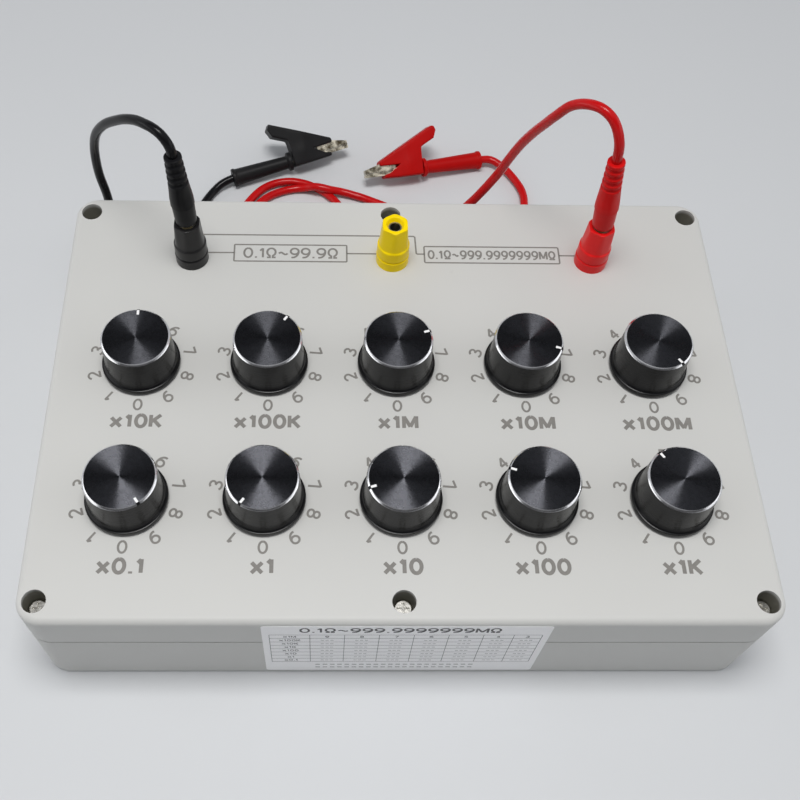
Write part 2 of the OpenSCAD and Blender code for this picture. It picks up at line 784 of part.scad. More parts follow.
// Sweep of a round cord along a route, with its rings carried along without twist
function unit(v) = v / norm(v);
function square_to(v, t) = unit(v - (v * t) * t);
function tangents(p) = [for (i = [0 : len(p) - 1]) unit(p[min(i + 1, len(p) - 1)] - p[max(i - 1, 0)])];
function carried(t) = [
    for (i = 0, n = square_to([0.6, 0.64, 0.48], t[0]); i < len(t);
        i = i + 1, n = i < len(t) ? square_to(n, t[i]) : n) n];
function rings(p, r) =
    let (t = tangents(p), n = carried(t))
    [for (i = [0 : len(p) - 1], k = [0 : cord_sides - 1])
        let (a = 360 * k / cord_sides)
        p[i] + r * (cos(a) * n[i] + sin(a) * cross(t[i], n[i]))];
function ring_faces(i) = [
    for (k = [0 : cord_sides - 1])
        let (a = i * cord_sides, m = (k + 1) % cord_sides)
        each [[a + k, a + cord_sides + k, a + cord_sides + m], [a + k, a + cord_sides + m, a + m]]];
module cord(route) {
    last = len(route) - 1;
    polyhedron(
        points = rings(route, cord_d / 2),
        faces = concat(
            [[for (k = [0 : cord_sides - 1]) k]],
            [for (i = [0 : last - 1]) each ring_faces(i)],
            [[for (k = [cord_sides - 1 : -1 : 0]) last * cord_sides + k]]));
}

module lead_near(i) {
    color(INKS[i == 0 ? 0 : 2])
        cord(near_routes[i]);
}

module lead_far(i) {
    color(INKS[i == 0 ? 0 : 2])
        cord(far_routes[i]);
}

// Outline with round ends
module stadium(l, w) {
    square([l - w, w], center = true);
    for (x = [-1, 1])
        translate([x * (l - w) / 2, 0])
            circle(d = w);
}

// Folded hank of the black lead, and loose loop of the red lead, both lying behind the box
module lead_bundle(i) {
    color(INKS[i == 0 ? 0 : 2])
        if (i == 0)
            translate(hank_at)
                linear_extrude(hank_h)
                    difference() {
                        stadium(hank_l, hank_w + cord_d);
                        stadium(hank_l - 2 * cord_d, hank_w - cord_d);
                    }
        else
            translate(loop_at)
                rotate_extrude()
                    translate([loop_r, loop_h / 2])
                        plan(loop_w, loop_h, cord_d / 2);
}

module place_clip(i) {
    translate(clip_at[i])
        rotate([0, -clip_pitch, clip_heading[i]])
            rotate([clip_roll[i], 0, 0])
                children();
}

// Side profile given as points, made w thick about the clip's middle plane
module slab(points, w) {
    translate([0, 0, -w / 2])
        linear_extrude(w)
            polygon(points);
}

// Trims a clip piece to a plan that narrows from the head to the nose
module narrowing(head, nose, from, to) {
    intersection() {
        children();
        rotate([90, 0, 0])
            translate([0, 0, -60])
                linear_extrude(120)
                    polygon([
                        [-60, -head / 2], [from, -head / 2], [to, -nose / 2], [to + 60, -nose / 2],
                        [to + 60, nose / 2], [to, nose / 2], [from, head / 2], [-60, head / 2]]);
    }
}

// Fixed half of the boot: barrel with flange and end rim, and the lower part of the head
module clip_boot(i) {
    chin = 3.2;
    nose_chin = 3;
    brow = 1.3;
    cheek_edge = 1.7;
    lower_lip = -1.4;
    cheek_w = head_w - 2 * boot_t - 2 * free_gap;
    cheek_nose_w = nose_w - 2 * boot_t - 2 * free_gap;
    cheek_top = pivot_at[1] + ear_r + 1;
    mouth_d = cord_d + 2 * free_gap;
    rim_d = barrel_d + 0.8;
    color(INKS[i == 0 ? 0 : 2])
        place_clip(i)
            difference() {
                union() {
                    rotate([0, -90, 0]) {
                        cylinder(d1 = barrel_neck_d, d2 = barrel_d, h = barrel_l);
                        cylinder(d = flange_d, h = flange_t);
                        translate([0, 0, barrel_l - flange_t])
                            cylinder(d = rim_d, h = flange_t);
                    }
                    narrowing(head_w, nose_w, pivot_at[0], nose_reach)
                        slab([[-flange_t / 2, -chin], [nose_reach, -nose_chin], [nose_reach, lower_lip],
                            [slot_reach + 5, lower_lip / 2], [slot_reach, slot_y - free_gap],
                            [pivot_at[0] + 0.5, cheek_edge], [wall_x + 1, -brow], [-flange_t / 2, -brow]],
                            head_w);
                    narrowing(cheek_w, cheek_nose_w, pivot_at[0], nose_reach)
                        slab([[-flange_t / 2, -chin + 0.4], [slot_reach - 1, -chin + 1],
                            [slot_reach - 1, -brow], [pivot_at[0] + ear_r, cheek_top],
                            [-flange_t / 2 + 1, cheek_top]], cheek_w);
                }
                rotate([0, -90, 0]) {
                    translate([0, 0, -3])
                        cylinder(d = barrel_bore, h = barrel_l + 3 - 2 * flange_t);
                    cylinder(d = mouth_d, h = barrel_l + cut);
                }
                narrowing(jaw_w + 2 * free_gap, tip_w + 4 * free_gap, teeth_from, jaw_reach)
                    slab([[2, -chin + 1.3], [nose_reach + cut, -nose_chin + 0.8], [nose_reach + cut, 20],
                        [2, 20]], jaw_w + 2 * free_gap);
            }
}

// Lever half of the boot: a channel that covers the upper jaw and slides over the fixed half's cheeks
module clip_lever(i) {
    end_x = -lever_reach;
    roof_t = 1;
    upper_lip = 3.2;
    inner_x = end_x + 1.2;
    open_x = brow_reach + cut;
    color(INKS[i == 0 ? 0 : 2])
        place_clip(i)
            difference() {
                narrowing(head_w, nose_w, pivot_at[0], nose_reach)
                    slab([[brow_reach, upper_lip], [brow_reach, roof(brow_reach)], [end_x, roof(end_x)],
                        [end_x - 1, roof(end_x) - lever_t / 2], [inner_x, roof(end_x) - lever_t],
                        [wall_x, roof(wall_x) - lever_t], [wall_x, 2], [slot_reach, slot_y]], head_w);
                narrowing(head_w - 2 * boot_t, nose_w - 2 * boot_t, pivot_at[0], nose_reach)
                    slab([[open_x, -9], [open_x, roof(open_x) - roof_t], [inner_x, roof(inner_x) - roof_t],
                        [inner_x, -9]], head_w);
            }
}

// Row of tooth points from the tip back, lifted by y
function teeth(y) = [
    for (k = [0 : 2 * floor((jaw_reach - teeth_from) / tooth_pitch)])
        [jaw_reach - k * tooth_pitch / 2, y + (k % 2) * tooth_h]];
function back_teeth(y) = let (t = teeth(y)) [for (k = [len(t) - 1 : -1 : 0]) t[k]];

module pivot_hole(d) {
    translate(pivot_at)
        cylinder(d = d, h = 20, center = true);
}

// Lower jaws: toothed channels with ears for the pivot and a crimped tail in the barrel
module clip_lower_jaws() {
    sole = 1.5;
    tail_w = 1.6;
    tail_l = 9;
    color([0.78, 0.76, 0.68])
        for (i = [0, 1])
            place_clip(i)
                difference() {
                    union() {
                        narrowing(jaw_w, tip_w, teeth_from, jaw_reach)
                            slab(concat([[3, -sole], [jaw_reach, -tip_h]], teeth(-bite),
                                [[teeth_from - 1.5, -bite], [pivot_at[0] + ear_r, pivot_at[1] + ear_r],
                                 [pivot_at[0] - ear_r, pivot_at[1] + ear_r], [3, 0]]), jaw_w);
                        slab([[-tail_l, -sole + 0.5], [4, -sole + 0.5], [4, -sole + 1], [-tail_l, -sole + 1]],
                            tail_w);
                    }
                    narrowing(jaw_w - 2 * sheet_t, tip_w - 2 * sheet_t, teeth_from, jaw_reach)
                        slab([[3.5, -sole + 1], [jaw_reach - sheet_t, -tip_h + sheet_t],
                            [jaw_reach - sheet_t, 20], [-20, 20], [-20, 1], [3.5, 1]], jaw_w);
                    pivot_hole(pivot_d + 2 * seat_gap);
                }
}

// Upper jaw: toothed nose, strip under the lever and two ears that turn on the pivot
module clip_upper_jaw(i) {
    strip_t = 0.7;
    drop = 1.5;
    end_x = 2.5 - lever_reach;
    brow_x = nose_reach - 1;
    ear_w = jaw_w - 2 * sheet_t - 2 * free_gap;
    color([0.78, 0.76, 0.68])
        place_clip(i)
            difference() {
                union() {
                    difference() {
                        narrowing(jaw_w, tip_w, teeth_from, jaw_reach)
                            slab(concat(back_teeth(bite), [[jaw_reach, tip_h + tooth_h],
                                [brow_x, roof(brow_x) - drop - 0.4], [teeth_from, roof(teeth_from) - drop]]),
                                jaw_w);
                        narrowing(jaw_w - 2 * sheet_t, tip_w - 2 * sheet_t, teeth_from, jaw_reach)
                            slab([[teeth_from - cut, -5], [jaw_reach - sheet_t, -5],
                                [jaw_reach - sheet_t, tip_h + tooth_h - sheet_t],
                                [brow_x, roof(brow_x) - drop - strip_t - 0.4],
                                [teeth_from, roof(teeth_from) - drop - strip_t],
                                [teeth_from - cut, roof(teeth_from) - drop - strip_t]], jaw_w);
                    }
                    slab([[teeth_from + cut, roof(teeth_from + cut) - drop], [end_x, roof(end_x) - drop],
                        [end_x, roof(end_x) - drop - strip_t],
                        [teeth_from + cut, roof(teeth_from + cut) - drop - strip_t]], jaw_w);
                    slab([[teeth_from + cut, roof(teeth_from + cut) - drop - strip_t / 2],
                        [pivot_at[0] - ear_r, roof(pivot_at[0] - ear_r) - drop - strip_t / 2],
                        [pivot_at[0] - ear_r, pivot_at[1] - ear_r],
                        [pivot_at[0] + ear_r, pivot_at[1] - ear_r]], ear_w);
                }
                slab([[-20, -9], [pivot_at[0] + ear_r + 1, -9],
                    [pivot_at[0] + ear_r + 1, roof(pivot_at[0] + ear_r + 1) - drop - strip_t],
                    [-20, roof(-20) - drop - strip_t]], ear_w - 2 * sheet_t);
                pivot_hole(pivot_d + 2 * run_gap);
            }
}

module clip_pivots() {
    color([0.7, 0.7, 0.7])
        for (i = [0, 1])
            place_clip(i)
                translate(pivot_at)
                    cylinder(d = pivot_d, h = jaw_w + free_gap, center = true);
}

// Torsion springs: three close turns round each pivot
module clip_springs() {
    turns = 3;
    pitch = spring_wire * 0.9;
    color([0.5, 0.5, 0.52])
        for (i = [0, 1])
            place_clip(i)
                translate(pivot_at)
                    rotate_extrude()
                        for (k = [0 : turns - 1])
                            translate([pivot_d / 2 + free_gap + spring_wire / 2,
                                (k - (turns - 1) / 2) * pitch])
                                circle(d = spring_wire, $fn = 24);
}

base_box();
lid();
gasket();
lid_screws();
thread_inserts();
switch_bodies();
switch_nuts();
circuit_board();
resistors();
link_wires();
terminal_studs();
terminal_nuts();
for (i = [0 : 2]) {
    terminal_collar(i);
    terminal_sleeve(i);
    terminal_cap(i);
}
for (i = [0 : len(DECADES) - 1]) {
    knob(i);
    shaft(i);
}
for (i = [0, 1]) {
    plug_sleeve(i);
    plug_pin(i);
    lead_near(i);
    lead_bundle(i);
    lead_far(i);
    clip_boot(i);
    clip_lever(i);
    clip_upper_jaw(i);
}
clip_lower_jaws();
clip_pivots();
clip_springs();
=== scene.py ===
# Decade resistance box with ten dials, three screw terminals and two plugged test leads: its looks.
import json
from itertools import accumulate

import bpy
import numpy as np
from mathutils import Matrix
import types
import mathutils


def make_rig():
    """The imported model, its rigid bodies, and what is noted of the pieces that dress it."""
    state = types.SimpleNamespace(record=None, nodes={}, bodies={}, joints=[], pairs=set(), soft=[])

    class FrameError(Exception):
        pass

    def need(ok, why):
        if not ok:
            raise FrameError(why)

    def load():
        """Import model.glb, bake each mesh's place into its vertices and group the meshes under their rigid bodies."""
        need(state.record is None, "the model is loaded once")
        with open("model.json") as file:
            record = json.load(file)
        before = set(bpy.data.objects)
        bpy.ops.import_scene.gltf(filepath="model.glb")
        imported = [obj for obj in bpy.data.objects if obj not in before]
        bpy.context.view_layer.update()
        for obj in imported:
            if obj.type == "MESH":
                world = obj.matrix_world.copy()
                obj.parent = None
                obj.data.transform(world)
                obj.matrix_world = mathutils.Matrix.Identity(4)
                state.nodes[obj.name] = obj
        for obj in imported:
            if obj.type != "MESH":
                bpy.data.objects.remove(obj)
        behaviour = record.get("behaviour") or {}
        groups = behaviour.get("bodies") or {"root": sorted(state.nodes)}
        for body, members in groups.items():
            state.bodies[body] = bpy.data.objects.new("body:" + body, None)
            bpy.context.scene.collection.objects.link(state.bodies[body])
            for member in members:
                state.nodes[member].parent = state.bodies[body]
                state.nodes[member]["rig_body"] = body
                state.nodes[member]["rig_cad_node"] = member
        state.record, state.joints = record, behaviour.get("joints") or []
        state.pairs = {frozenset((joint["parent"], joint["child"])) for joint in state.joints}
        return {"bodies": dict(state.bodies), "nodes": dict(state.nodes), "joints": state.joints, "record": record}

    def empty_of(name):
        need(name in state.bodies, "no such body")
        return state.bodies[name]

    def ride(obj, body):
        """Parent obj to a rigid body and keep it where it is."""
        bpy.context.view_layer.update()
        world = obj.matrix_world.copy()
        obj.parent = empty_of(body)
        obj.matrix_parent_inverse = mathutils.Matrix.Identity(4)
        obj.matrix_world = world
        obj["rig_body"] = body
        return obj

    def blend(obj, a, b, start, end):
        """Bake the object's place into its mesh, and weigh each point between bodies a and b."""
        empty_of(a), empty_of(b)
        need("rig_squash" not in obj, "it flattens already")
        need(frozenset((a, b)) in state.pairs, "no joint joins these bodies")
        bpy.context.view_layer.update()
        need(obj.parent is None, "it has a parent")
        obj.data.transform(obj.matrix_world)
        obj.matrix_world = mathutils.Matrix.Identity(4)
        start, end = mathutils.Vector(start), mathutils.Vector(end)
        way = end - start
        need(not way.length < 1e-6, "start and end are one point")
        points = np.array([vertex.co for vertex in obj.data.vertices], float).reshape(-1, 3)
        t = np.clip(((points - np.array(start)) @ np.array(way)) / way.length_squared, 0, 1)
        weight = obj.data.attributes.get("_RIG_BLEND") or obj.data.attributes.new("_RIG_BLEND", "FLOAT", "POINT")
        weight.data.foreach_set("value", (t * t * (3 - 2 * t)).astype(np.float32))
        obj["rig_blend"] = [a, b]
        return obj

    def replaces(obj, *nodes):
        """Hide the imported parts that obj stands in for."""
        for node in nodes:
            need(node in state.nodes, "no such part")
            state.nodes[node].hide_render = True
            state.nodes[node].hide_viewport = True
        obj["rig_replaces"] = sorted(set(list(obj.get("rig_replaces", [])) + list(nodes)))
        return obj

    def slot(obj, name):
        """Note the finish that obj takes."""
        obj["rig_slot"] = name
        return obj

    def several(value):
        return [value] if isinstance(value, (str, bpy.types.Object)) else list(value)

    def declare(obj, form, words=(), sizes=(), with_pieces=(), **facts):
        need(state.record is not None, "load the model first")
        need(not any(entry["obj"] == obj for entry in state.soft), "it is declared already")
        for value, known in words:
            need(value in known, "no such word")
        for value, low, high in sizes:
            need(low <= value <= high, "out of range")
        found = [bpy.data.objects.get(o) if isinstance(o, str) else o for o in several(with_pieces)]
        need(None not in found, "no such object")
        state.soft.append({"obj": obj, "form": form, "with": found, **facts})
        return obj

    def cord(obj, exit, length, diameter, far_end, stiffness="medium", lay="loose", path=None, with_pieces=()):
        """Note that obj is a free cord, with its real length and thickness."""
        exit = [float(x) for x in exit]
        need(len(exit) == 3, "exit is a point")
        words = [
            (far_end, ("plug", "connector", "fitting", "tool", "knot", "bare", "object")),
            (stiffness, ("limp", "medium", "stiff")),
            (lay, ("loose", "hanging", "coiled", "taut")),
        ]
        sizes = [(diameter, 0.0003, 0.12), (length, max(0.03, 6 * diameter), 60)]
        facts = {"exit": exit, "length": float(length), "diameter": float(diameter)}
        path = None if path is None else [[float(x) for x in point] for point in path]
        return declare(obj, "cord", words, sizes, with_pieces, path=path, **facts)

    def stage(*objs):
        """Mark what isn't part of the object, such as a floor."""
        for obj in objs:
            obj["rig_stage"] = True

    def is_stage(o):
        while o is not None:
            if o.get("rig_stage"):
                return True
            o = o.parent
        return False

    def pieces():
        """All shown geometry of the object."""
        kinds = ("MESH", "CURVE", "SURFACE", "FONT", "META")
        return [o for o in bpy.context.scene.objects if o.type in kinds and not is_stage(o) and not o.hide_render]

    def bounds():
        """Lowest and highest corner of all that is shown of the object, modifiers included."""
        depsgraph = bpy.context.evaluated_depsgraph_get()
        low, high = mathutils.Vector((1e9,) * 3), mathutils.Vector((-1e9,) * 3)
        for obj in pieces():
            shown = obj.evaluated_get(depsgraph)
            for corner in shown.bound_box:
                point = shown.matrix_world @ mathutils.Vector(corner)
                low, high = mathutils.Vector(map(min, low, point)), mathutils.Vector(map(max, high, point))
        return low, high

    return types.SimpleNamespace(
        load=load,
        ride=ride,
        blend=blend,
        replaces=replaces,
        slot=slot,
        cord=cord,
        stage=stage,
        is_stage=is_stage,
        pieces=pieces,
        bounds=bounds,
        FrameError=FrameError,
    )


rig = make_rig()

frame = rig.load()
node = frame["nodes"]
cad_box = [list(corner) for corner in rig.bounds()]

# Camera, in front of the box and well above it, turned and tilted a little.
# Its place, lens and shift come from a fit to the screw wells, the dials' digits and the box's edges.
turn, climb, tilt = np.radians((-2.801, 59.842, 2.725))
backward = np.array((np.sin(turn) * np.cos(climb), -np.cos(turn) * np.cos(climb), np.sin(climb)))
level = np.cross((0, 0, 1), backward)
level /= np.linalg.norm(level)
upward = np.cross(backward, level)
camera_axes = np.eye(4)
camera_axes[:3, 0] = np.cos(tilt) * level + np.sin(tilt) * upward
camera_axes[:3, 1] = np.cos(tilt) * upward - np.sin(tilt) * level
camera_axes[:3, 2] = backward
camera_axes[:3, 3] = -0.027726, -0.208987, 0.390456
camera = bpy.data.objects.new("camera", bpy.data.cameras.new("camera"))
camera.matrix_world = Matrix(camera_axes)
camera.data.sensor_width = 36
camera.data.lens = 47.051
camera.data.shift_x = 0.06373
camera.data.shift_y = 0.02386
bpy.context.scene.collection.objects.link(camera)
bpy.context.scene.camera = camera

# Test plugs: soft PVC sleeves moulded over 4 mm plated pins that stand in the outer terminals.
# Each has a slim waisted body with a thin step and flattened finger grips, and a ringed strain relief on top.
terminal_x = {"black": -81.2, "yellow": 0, "red": 81.2}
terminal_y = 61.5
plug_foot = 77.3
plug_lean = {"black": 2, "red": 5}
lead_colours = ("black", "red")


def tint(red, green, blue):
    """Scene-linear colour of a display colour given in 0 to 255: the sRGB curve undone."""
    share = np.array((red, green, blue)) / 255
    return tuple(np.where(share <= 0.04045, share / 12.92, ((share + 0.055) / 1.055) ** 2.4))


class Tone:
    """A shader socket with arithmetic: each operator adds a Math node, and node() adds any other kind."""

    def __init__(self, tree, socket=None):
        self.tree = tree
        self.socket = socket

    def plug_into(self, target, value):
        """Links a tone to a socket, or sets the socket to a plain number or colour."""
        if isinstance(value, Tone):
            self.tree.links.new(value.socket, target)
        elif target.type == "RGBA":
            target.default_value = (*value, 1)[:4]
        else:
            target.default_value = value

    def node(self, kind, settings=None, inputs=None, out=0):
        """Adds a node of that kind, makes its settings, fills its sockets, and gives one of its outputs."""
        made = self.tree.nodes.new("ShaderNode" + kind)
        for setting, value in (settings or {}).items():
            if setting == "stops":
                made.color_ramp.elements[0].position, made.color_ramp.elements[1].position = value
            else:
                setattr(made, setting, value)
        for name, value in (inputs or {}).items():
            self.plug_into(made.inputs[name], value)
        return Tone(self.tree, made.outputs[out])

    def math(self, operation, *values):
        return self.node("Math", {"operation": operation}, dict(enumerate(values)))

    def __add__(self, other):
        return self.math("ADD", self, other)

    def __sub__(self, other):
        return self.math("SUBTRACT", self, other)

    def __rsub__(self, other):
        return self.math("SUBTRACT", other, self)

    def __mul__(self, other):
        return self.math("MULTIPLY", self, other)

    __radd__ = __add__
    __rmul__ = __mul__

    def clip(self, low, high):
        """0 up to low, 1 from high on, and a straight rise between them."""
        return self.node("MapRange", None, {"Value": self, "From Min": low, "From Max": high})

    def noise(self, scale, detail=2.0, rough=0.5):
        return self.node("TexNoise", None,
                         {"Vector": self, "Scale": scale, "Detail": detail, "Roughness": rough})

    def between(self, low, high):
        """Colour that runs from low to high with this tone as the share."""
        return self.node("Mix", {"data_type": "RGBA"}, {0: self, 6: low, 7: high}, 2)

    def bump(self, strength, depth):
        return self.node("Bump", None, {"Strength": strength, "Distance": depth, "Height": self})


def finish(name, recipe, **fixed):
    """Material with one Principled shader. fixed holds its constant sockets, with _ for a space, and recipe(place)
    gives the sockets that vary, where place is the Object coordinate."""
    material = bpy.data.materials.new(name)
    material.use_nodes = True
    tree = material.node_tree
    shader = tree.nodes["Principled BSDF"]
    place = Tone(tree).node("TexCoord", out="Object")
    for socket, value in {**fixed, **recipe(place)}.items():
        place.plug_into(shader.inputs[socket.replace("_", " ")], value)
    return material


def moulding(low, high, rough, grain_scale=1500, grain=0.12):
    """Recipe of a moulded surface: a slow drift of colour and gloss, and a fine grain in relief."""
    def recipe(place):
        drift = place.noise(90, 3)
        return {"Base_Color": drift.between(low, high),
                "Roughness": rough + 0.16 * (drift - 0.5),
                "Normal": place.noise(grain_scale, 3).bump(grain, 0.00008)}
    return recipe


def shell(grid, ends=(True, True), material=0):
    """Points, faces, corner UVs and material of a tube of rings: each point of the grid is joined to the next on its
    row and to the same point of the next row, and a fan to its middle closes the first or last row."""
    rows, sides = grid.shape[:2]
    i, j = (a.ravel() for a in np.meshgrid(np.arange(rows - 1), np.arange(sides), indexing="ij"))
    k = (j + 1) % sides
    faces = np.stack([i * sides + j, i * sides + k, (i + 1) * sides + k, (i + 1) * sides + j], -1).tolist()
    across = np.stack([j, j + 1, j + 1, j], -1) / sides
    along = np.stack([i, i, i + 1, i + 1], -1) / (rows - 1)
    uvs = [np.stack([across, along], -1).reshape(-1, 2)]
    points = [grid.reshape(-1, 3)]
    count = rows * sides
    ring = np.arange(sides)
    for is_end, row in ((False, 0), (True, rows - 1)):
        if ends[is_end]:
            points.append(grid[row].mean(0)[None])
            pair = np.stack([ring, (ring + 1) % sides], -1)[:, ::1 if is_end else -1] + row * sides
            faces += np.column_stack([np.full(sides, count), pair]).tolist()
            uvs.append(np.tile((0.5, float(is_end)), (3 * sides, 1)))
            count += 1
    return np.concatenate(points), faces, np.concatenate(uvs), material


def assemble(name, shells, materials, crease=38):
    """One object at the origin from shells in millimetres; edges bent by more than crease degrees stay sharp."""
    starts = list(accumulate((len(s[0]) for s in shells), initial=0))
    mesh = bpy.data.meshes.new(name)
    mesh.from_pydata(np.concatenate([s[0] for s in shells]) / 1000, [],
                     [[start + v for v in face] for start, s in zip(starts, shells) for face in s[1]])
    mesh.uv_layers.new(name="UVMap").data.foreach_set("uv", np.concatenate([s[2] for s in shells]).ravel())
    mesh.polygons.foreach_set("material_index", np.repeat([s[3] for s in shells], [len(s[1]) for s in shells]))
    mesh.polygons.foreach_set("use_smooth", np.ones(len(mesh.polygons), bool))
    mesh.set_sharp_from_angle(angle=np.radians(crease))
    for material in materials:
        mesh.materials.append(material)
    made = bpy.data.objects.new(name, mesh)
    bpy.context.scene.collection.objects.link(made)
    return made


def filleted(corners, steps=6):
    """Line through corners given as (x, y, reach): each is rounded by the quadratic curve that leaves the line reach
    before the corner and joins it again reach after; a corner of no reach stays sharp."""
    corners = np.array(corners, float)
    point, reach = corners[:, :2], corners[:, 2:]
    step = np.diff(point, axis=0)
    step /= np.linalg.norm(step, axis=1)[:, None]
    before = point - reach * np.vstack([step[:1], step])
    after = point + reach * np.vstack([step, step[-1:]])
    t = np.linspace(0, 1, steps)[:, None, None]
    curve = (1 - t) ** 2 * before + 2 * t * (1 - t) * point + t ** 2 * after
    keep = np.arange(steps)[:, None] < np.where(reach[:, 0] > 0, steps, 1)
    return curve.transpose(1, 0, 2)[keep.T]


def turned(profile, sides=64):
    """Surface of revolution: the (radius, height) points of the profile carried round the upright axis."""
    angle = np.linspace(0, 2 * np.pi, sides, endpoint=False)
    radius, height = profile.T[..., None]
    return np.stack([radius * np.cos(angle), radius * np.sin(angle), height + 0 * angle], -1)


def plug_skin(lean):
    """Plug sleeve: a turned profile, less a cosine groove for each ring of the relief and two shallow finger flats,
    tipped by lean degrees towards -X."""
    ring_low, ring_high, ring_pitch, ring_depth = 20.9, 33.7, 3.2, 0.2
    grip_z, grip_reach, grip_depth = 15.2, 5.2, 0.07
    height = np.concatenate([[0, 0, 0.25, 0.6], np.linspace(1, 9.85, 12), [9.95, 10.1, 10.25],
                             np.linspace(10.6, 20.2, 16), np.linspace(20.5, ring_high, 120), [33.95, 34.3, 34.5, 34.5]])
    radius = np.interp(height, [0, 0.6, 3, 9.95, 10.1, 13, 20.5, 34.5], [3.85, 4.15, 4.3, 4.4, 4.64, 4.56, 3.92, 3.3])
    radius[[0, -1]] = 2.05, 1.8
    radius[[1, -2]] -= 0.25
    grid = turned(np.column_stack([radius, height]), 72)
    angle = np.arctan2(grid[..., 1], grid[..., 0])
    up = grid[..., 2]
    ringed = (up > ring_low) & (up < ring_high)
    wave = np.cos(2 * np.pi * (up - ring_low) / ring_pitch)
    groove = np.where(ringed, np.clip(0.55 - 0.85 * wave, 0, 1), 0) * (0.8 + 0.2 * np.cos(2 * (angle + 1.4)))
    flat = np.clip(1 - ((up - grip_z) / grip_reach) ** 2, 0, 1) * np.clip(np.cos(2 * (angle + 0.9)), 0, 1) ** 2
    grid[..., :2] *= (1 - ring_depth * groove - grip_depth * flat)[..., None]
    tip = np.radians(lean)
    turn_y = np.array(((np.cos(tip), 0, -np.sin(tip)), (0, 1, 0), (np.sin(tip), 0, np.cos(tip))))
    return grid @ turn_y.T


def pin_plating(place):
    """Nickel over brass, with fine turning marks along the pin."""
    marks = place.node("TexNoise", None, {
        "Vector": place.node("Mapping", None, {"Vector": place, "Scale": (40, 40, 3000)}), "Scale": 1.0})
    return {"Base_Color": marks.between(tint(196, 178, 128), tint(232, 220, 186)), "Roughness": 0.18 + 0.2 * marks}


plug_finish = {
    "black": finish("plug_pvc_black", moulding(tint(17, 17, 19), tint(27, 27, 29), 0.34), Specular_IOR_Level=0.14),
    "red": finish("plug_pvc_red", moulding(tint(192, 10, 12), tint(212, 18, 18), 0.36), Specular_IOR_Level=0.16)}
pin_finish = finish("plug_plating", pin_plating, Metallic=1.0)
plug = {}
for colour in lead_colours:
    skin = plug_skin(plug_lean[colour]) + (terminal_x[colour], terminal_y, plug_foot)
    plug[colour] = assemble(f"plug_moulding_{colour}", [shell(skin)], [plug_finish[colour]], 30)
    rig.ride(plug[colour], f"plug_{colour}")
    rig.replaces(plug[colour], f"plug_sleeve_{colour}")
    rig.slot(plug[colour], f"boot_{colour}")
    node[f"plug_pin_{colour}"].data.materials[0] = pin_finish

# Crocodile clips: toothed, nickel plated jaws pressed from sheet, on a pivot pin with a torsion spring.
# A soft boot is pushed over each: a barrel with a flange and an end rim, and a wedge-shaped head with its lever.
clip_at = {"black": (-44.4, 161.5, 6.2), "red": (20.5, 158.2, 6.2)}
clip_heading = {"black": 19.7, "red": 193.9}
clip_roll = {"black": 40, "red": 140}
clip_pitch = 3.2
lever_slope = np.tan(np.radians(26.4))
nose_reach = 20


def clip_place(grid, colour):
    """Carries points from a clip's own frame to the bench: rolled about its length, tipped up, turned to its heading
    and moved."""
    heading, pitch, roll = np.radians((clip_heading[colour], clip_pitch, clip_roll[colour]))
    along = np.array((np.cos(heading) * np.cos(pitch), np.sin(heading) * np.cos(pitch), np.sin(pitch)))
    flat = np.array((-np.sin(heading), np.cos(heading), 0))
    raised = np.cross(along, flat)
    axes = np.array((along, np.cos(roll) * flat + np.sin(roll) * raised, np.cos(roll) * raised - np.sin(roll) * flat))
    return grid @ axes + clip_at[colour]


def roof(x):
    """Height of the boot's straight back above the jaws' line."""
    return 6.4 + (nose_reach - x) * lever_slope


def slab(x, low, high, width, low_edge, high_edge, bulge=0.0):
    """Moulded slab between two lines low(x) and high(x): at each station its section is a rectangle whose upper and
    lower corners are rounded by quarter circles, with a soft swell of the sides round the pivot."""
    quarter = np.linspace(0, np.pi / 2, 5)
    side = np.linspace(0, 1, 12)[1:-1]
    rise = high - low
    low_edge = np.minimum(low_edge, 0.45 * rise)
    high_edge = np.minimum(high_edge, 0.45 * rise)
    half = width / 2
    over, under = high_edge[:, None], low_edge[:, None]
    lower_y = low[:, None] + under * (1 - np.sin(quarter[::-1]))
    lower_z = half[:, None] - under * (1 - np.cos(quarter[::-1]))
    upper_y = high[:, None] - over * (1 - np.sin(quarter))
    upper_z = half[:, None] - over * (1 - np.cos(quarter))
    flank_y = lower_y[:, -1:] + (upper_y[:, :1] - lower_y[:, -1:]) * side
    y = np.hstack([lower_y, flank_y, upper_y])
    z = np.hstack([lower_z, half[:, None] + 0 * flank_y, upper_z])
    pivot_x, pivot_y, spread = 6.2, 2.8, 11
    z = z + bulge * np.exp(-((x[:, None] - pivot_x) ** 2 + (y - pivot_y) ** 2) / spread)
    ring_y = np.hstack([y, y[:, ::-1]])
    ring_z = np.hstack([-z, z[:, ::-1]])
    return np.stack([x[:, None] + 0 * ring_y, ring_y, ring_z], -1)


def head_width(x):
    """Thickness of the boot's head, which narrows from the pivot to the nose."""
    return np.interp(x, [8, nose_reach], [10.4, 7.2])


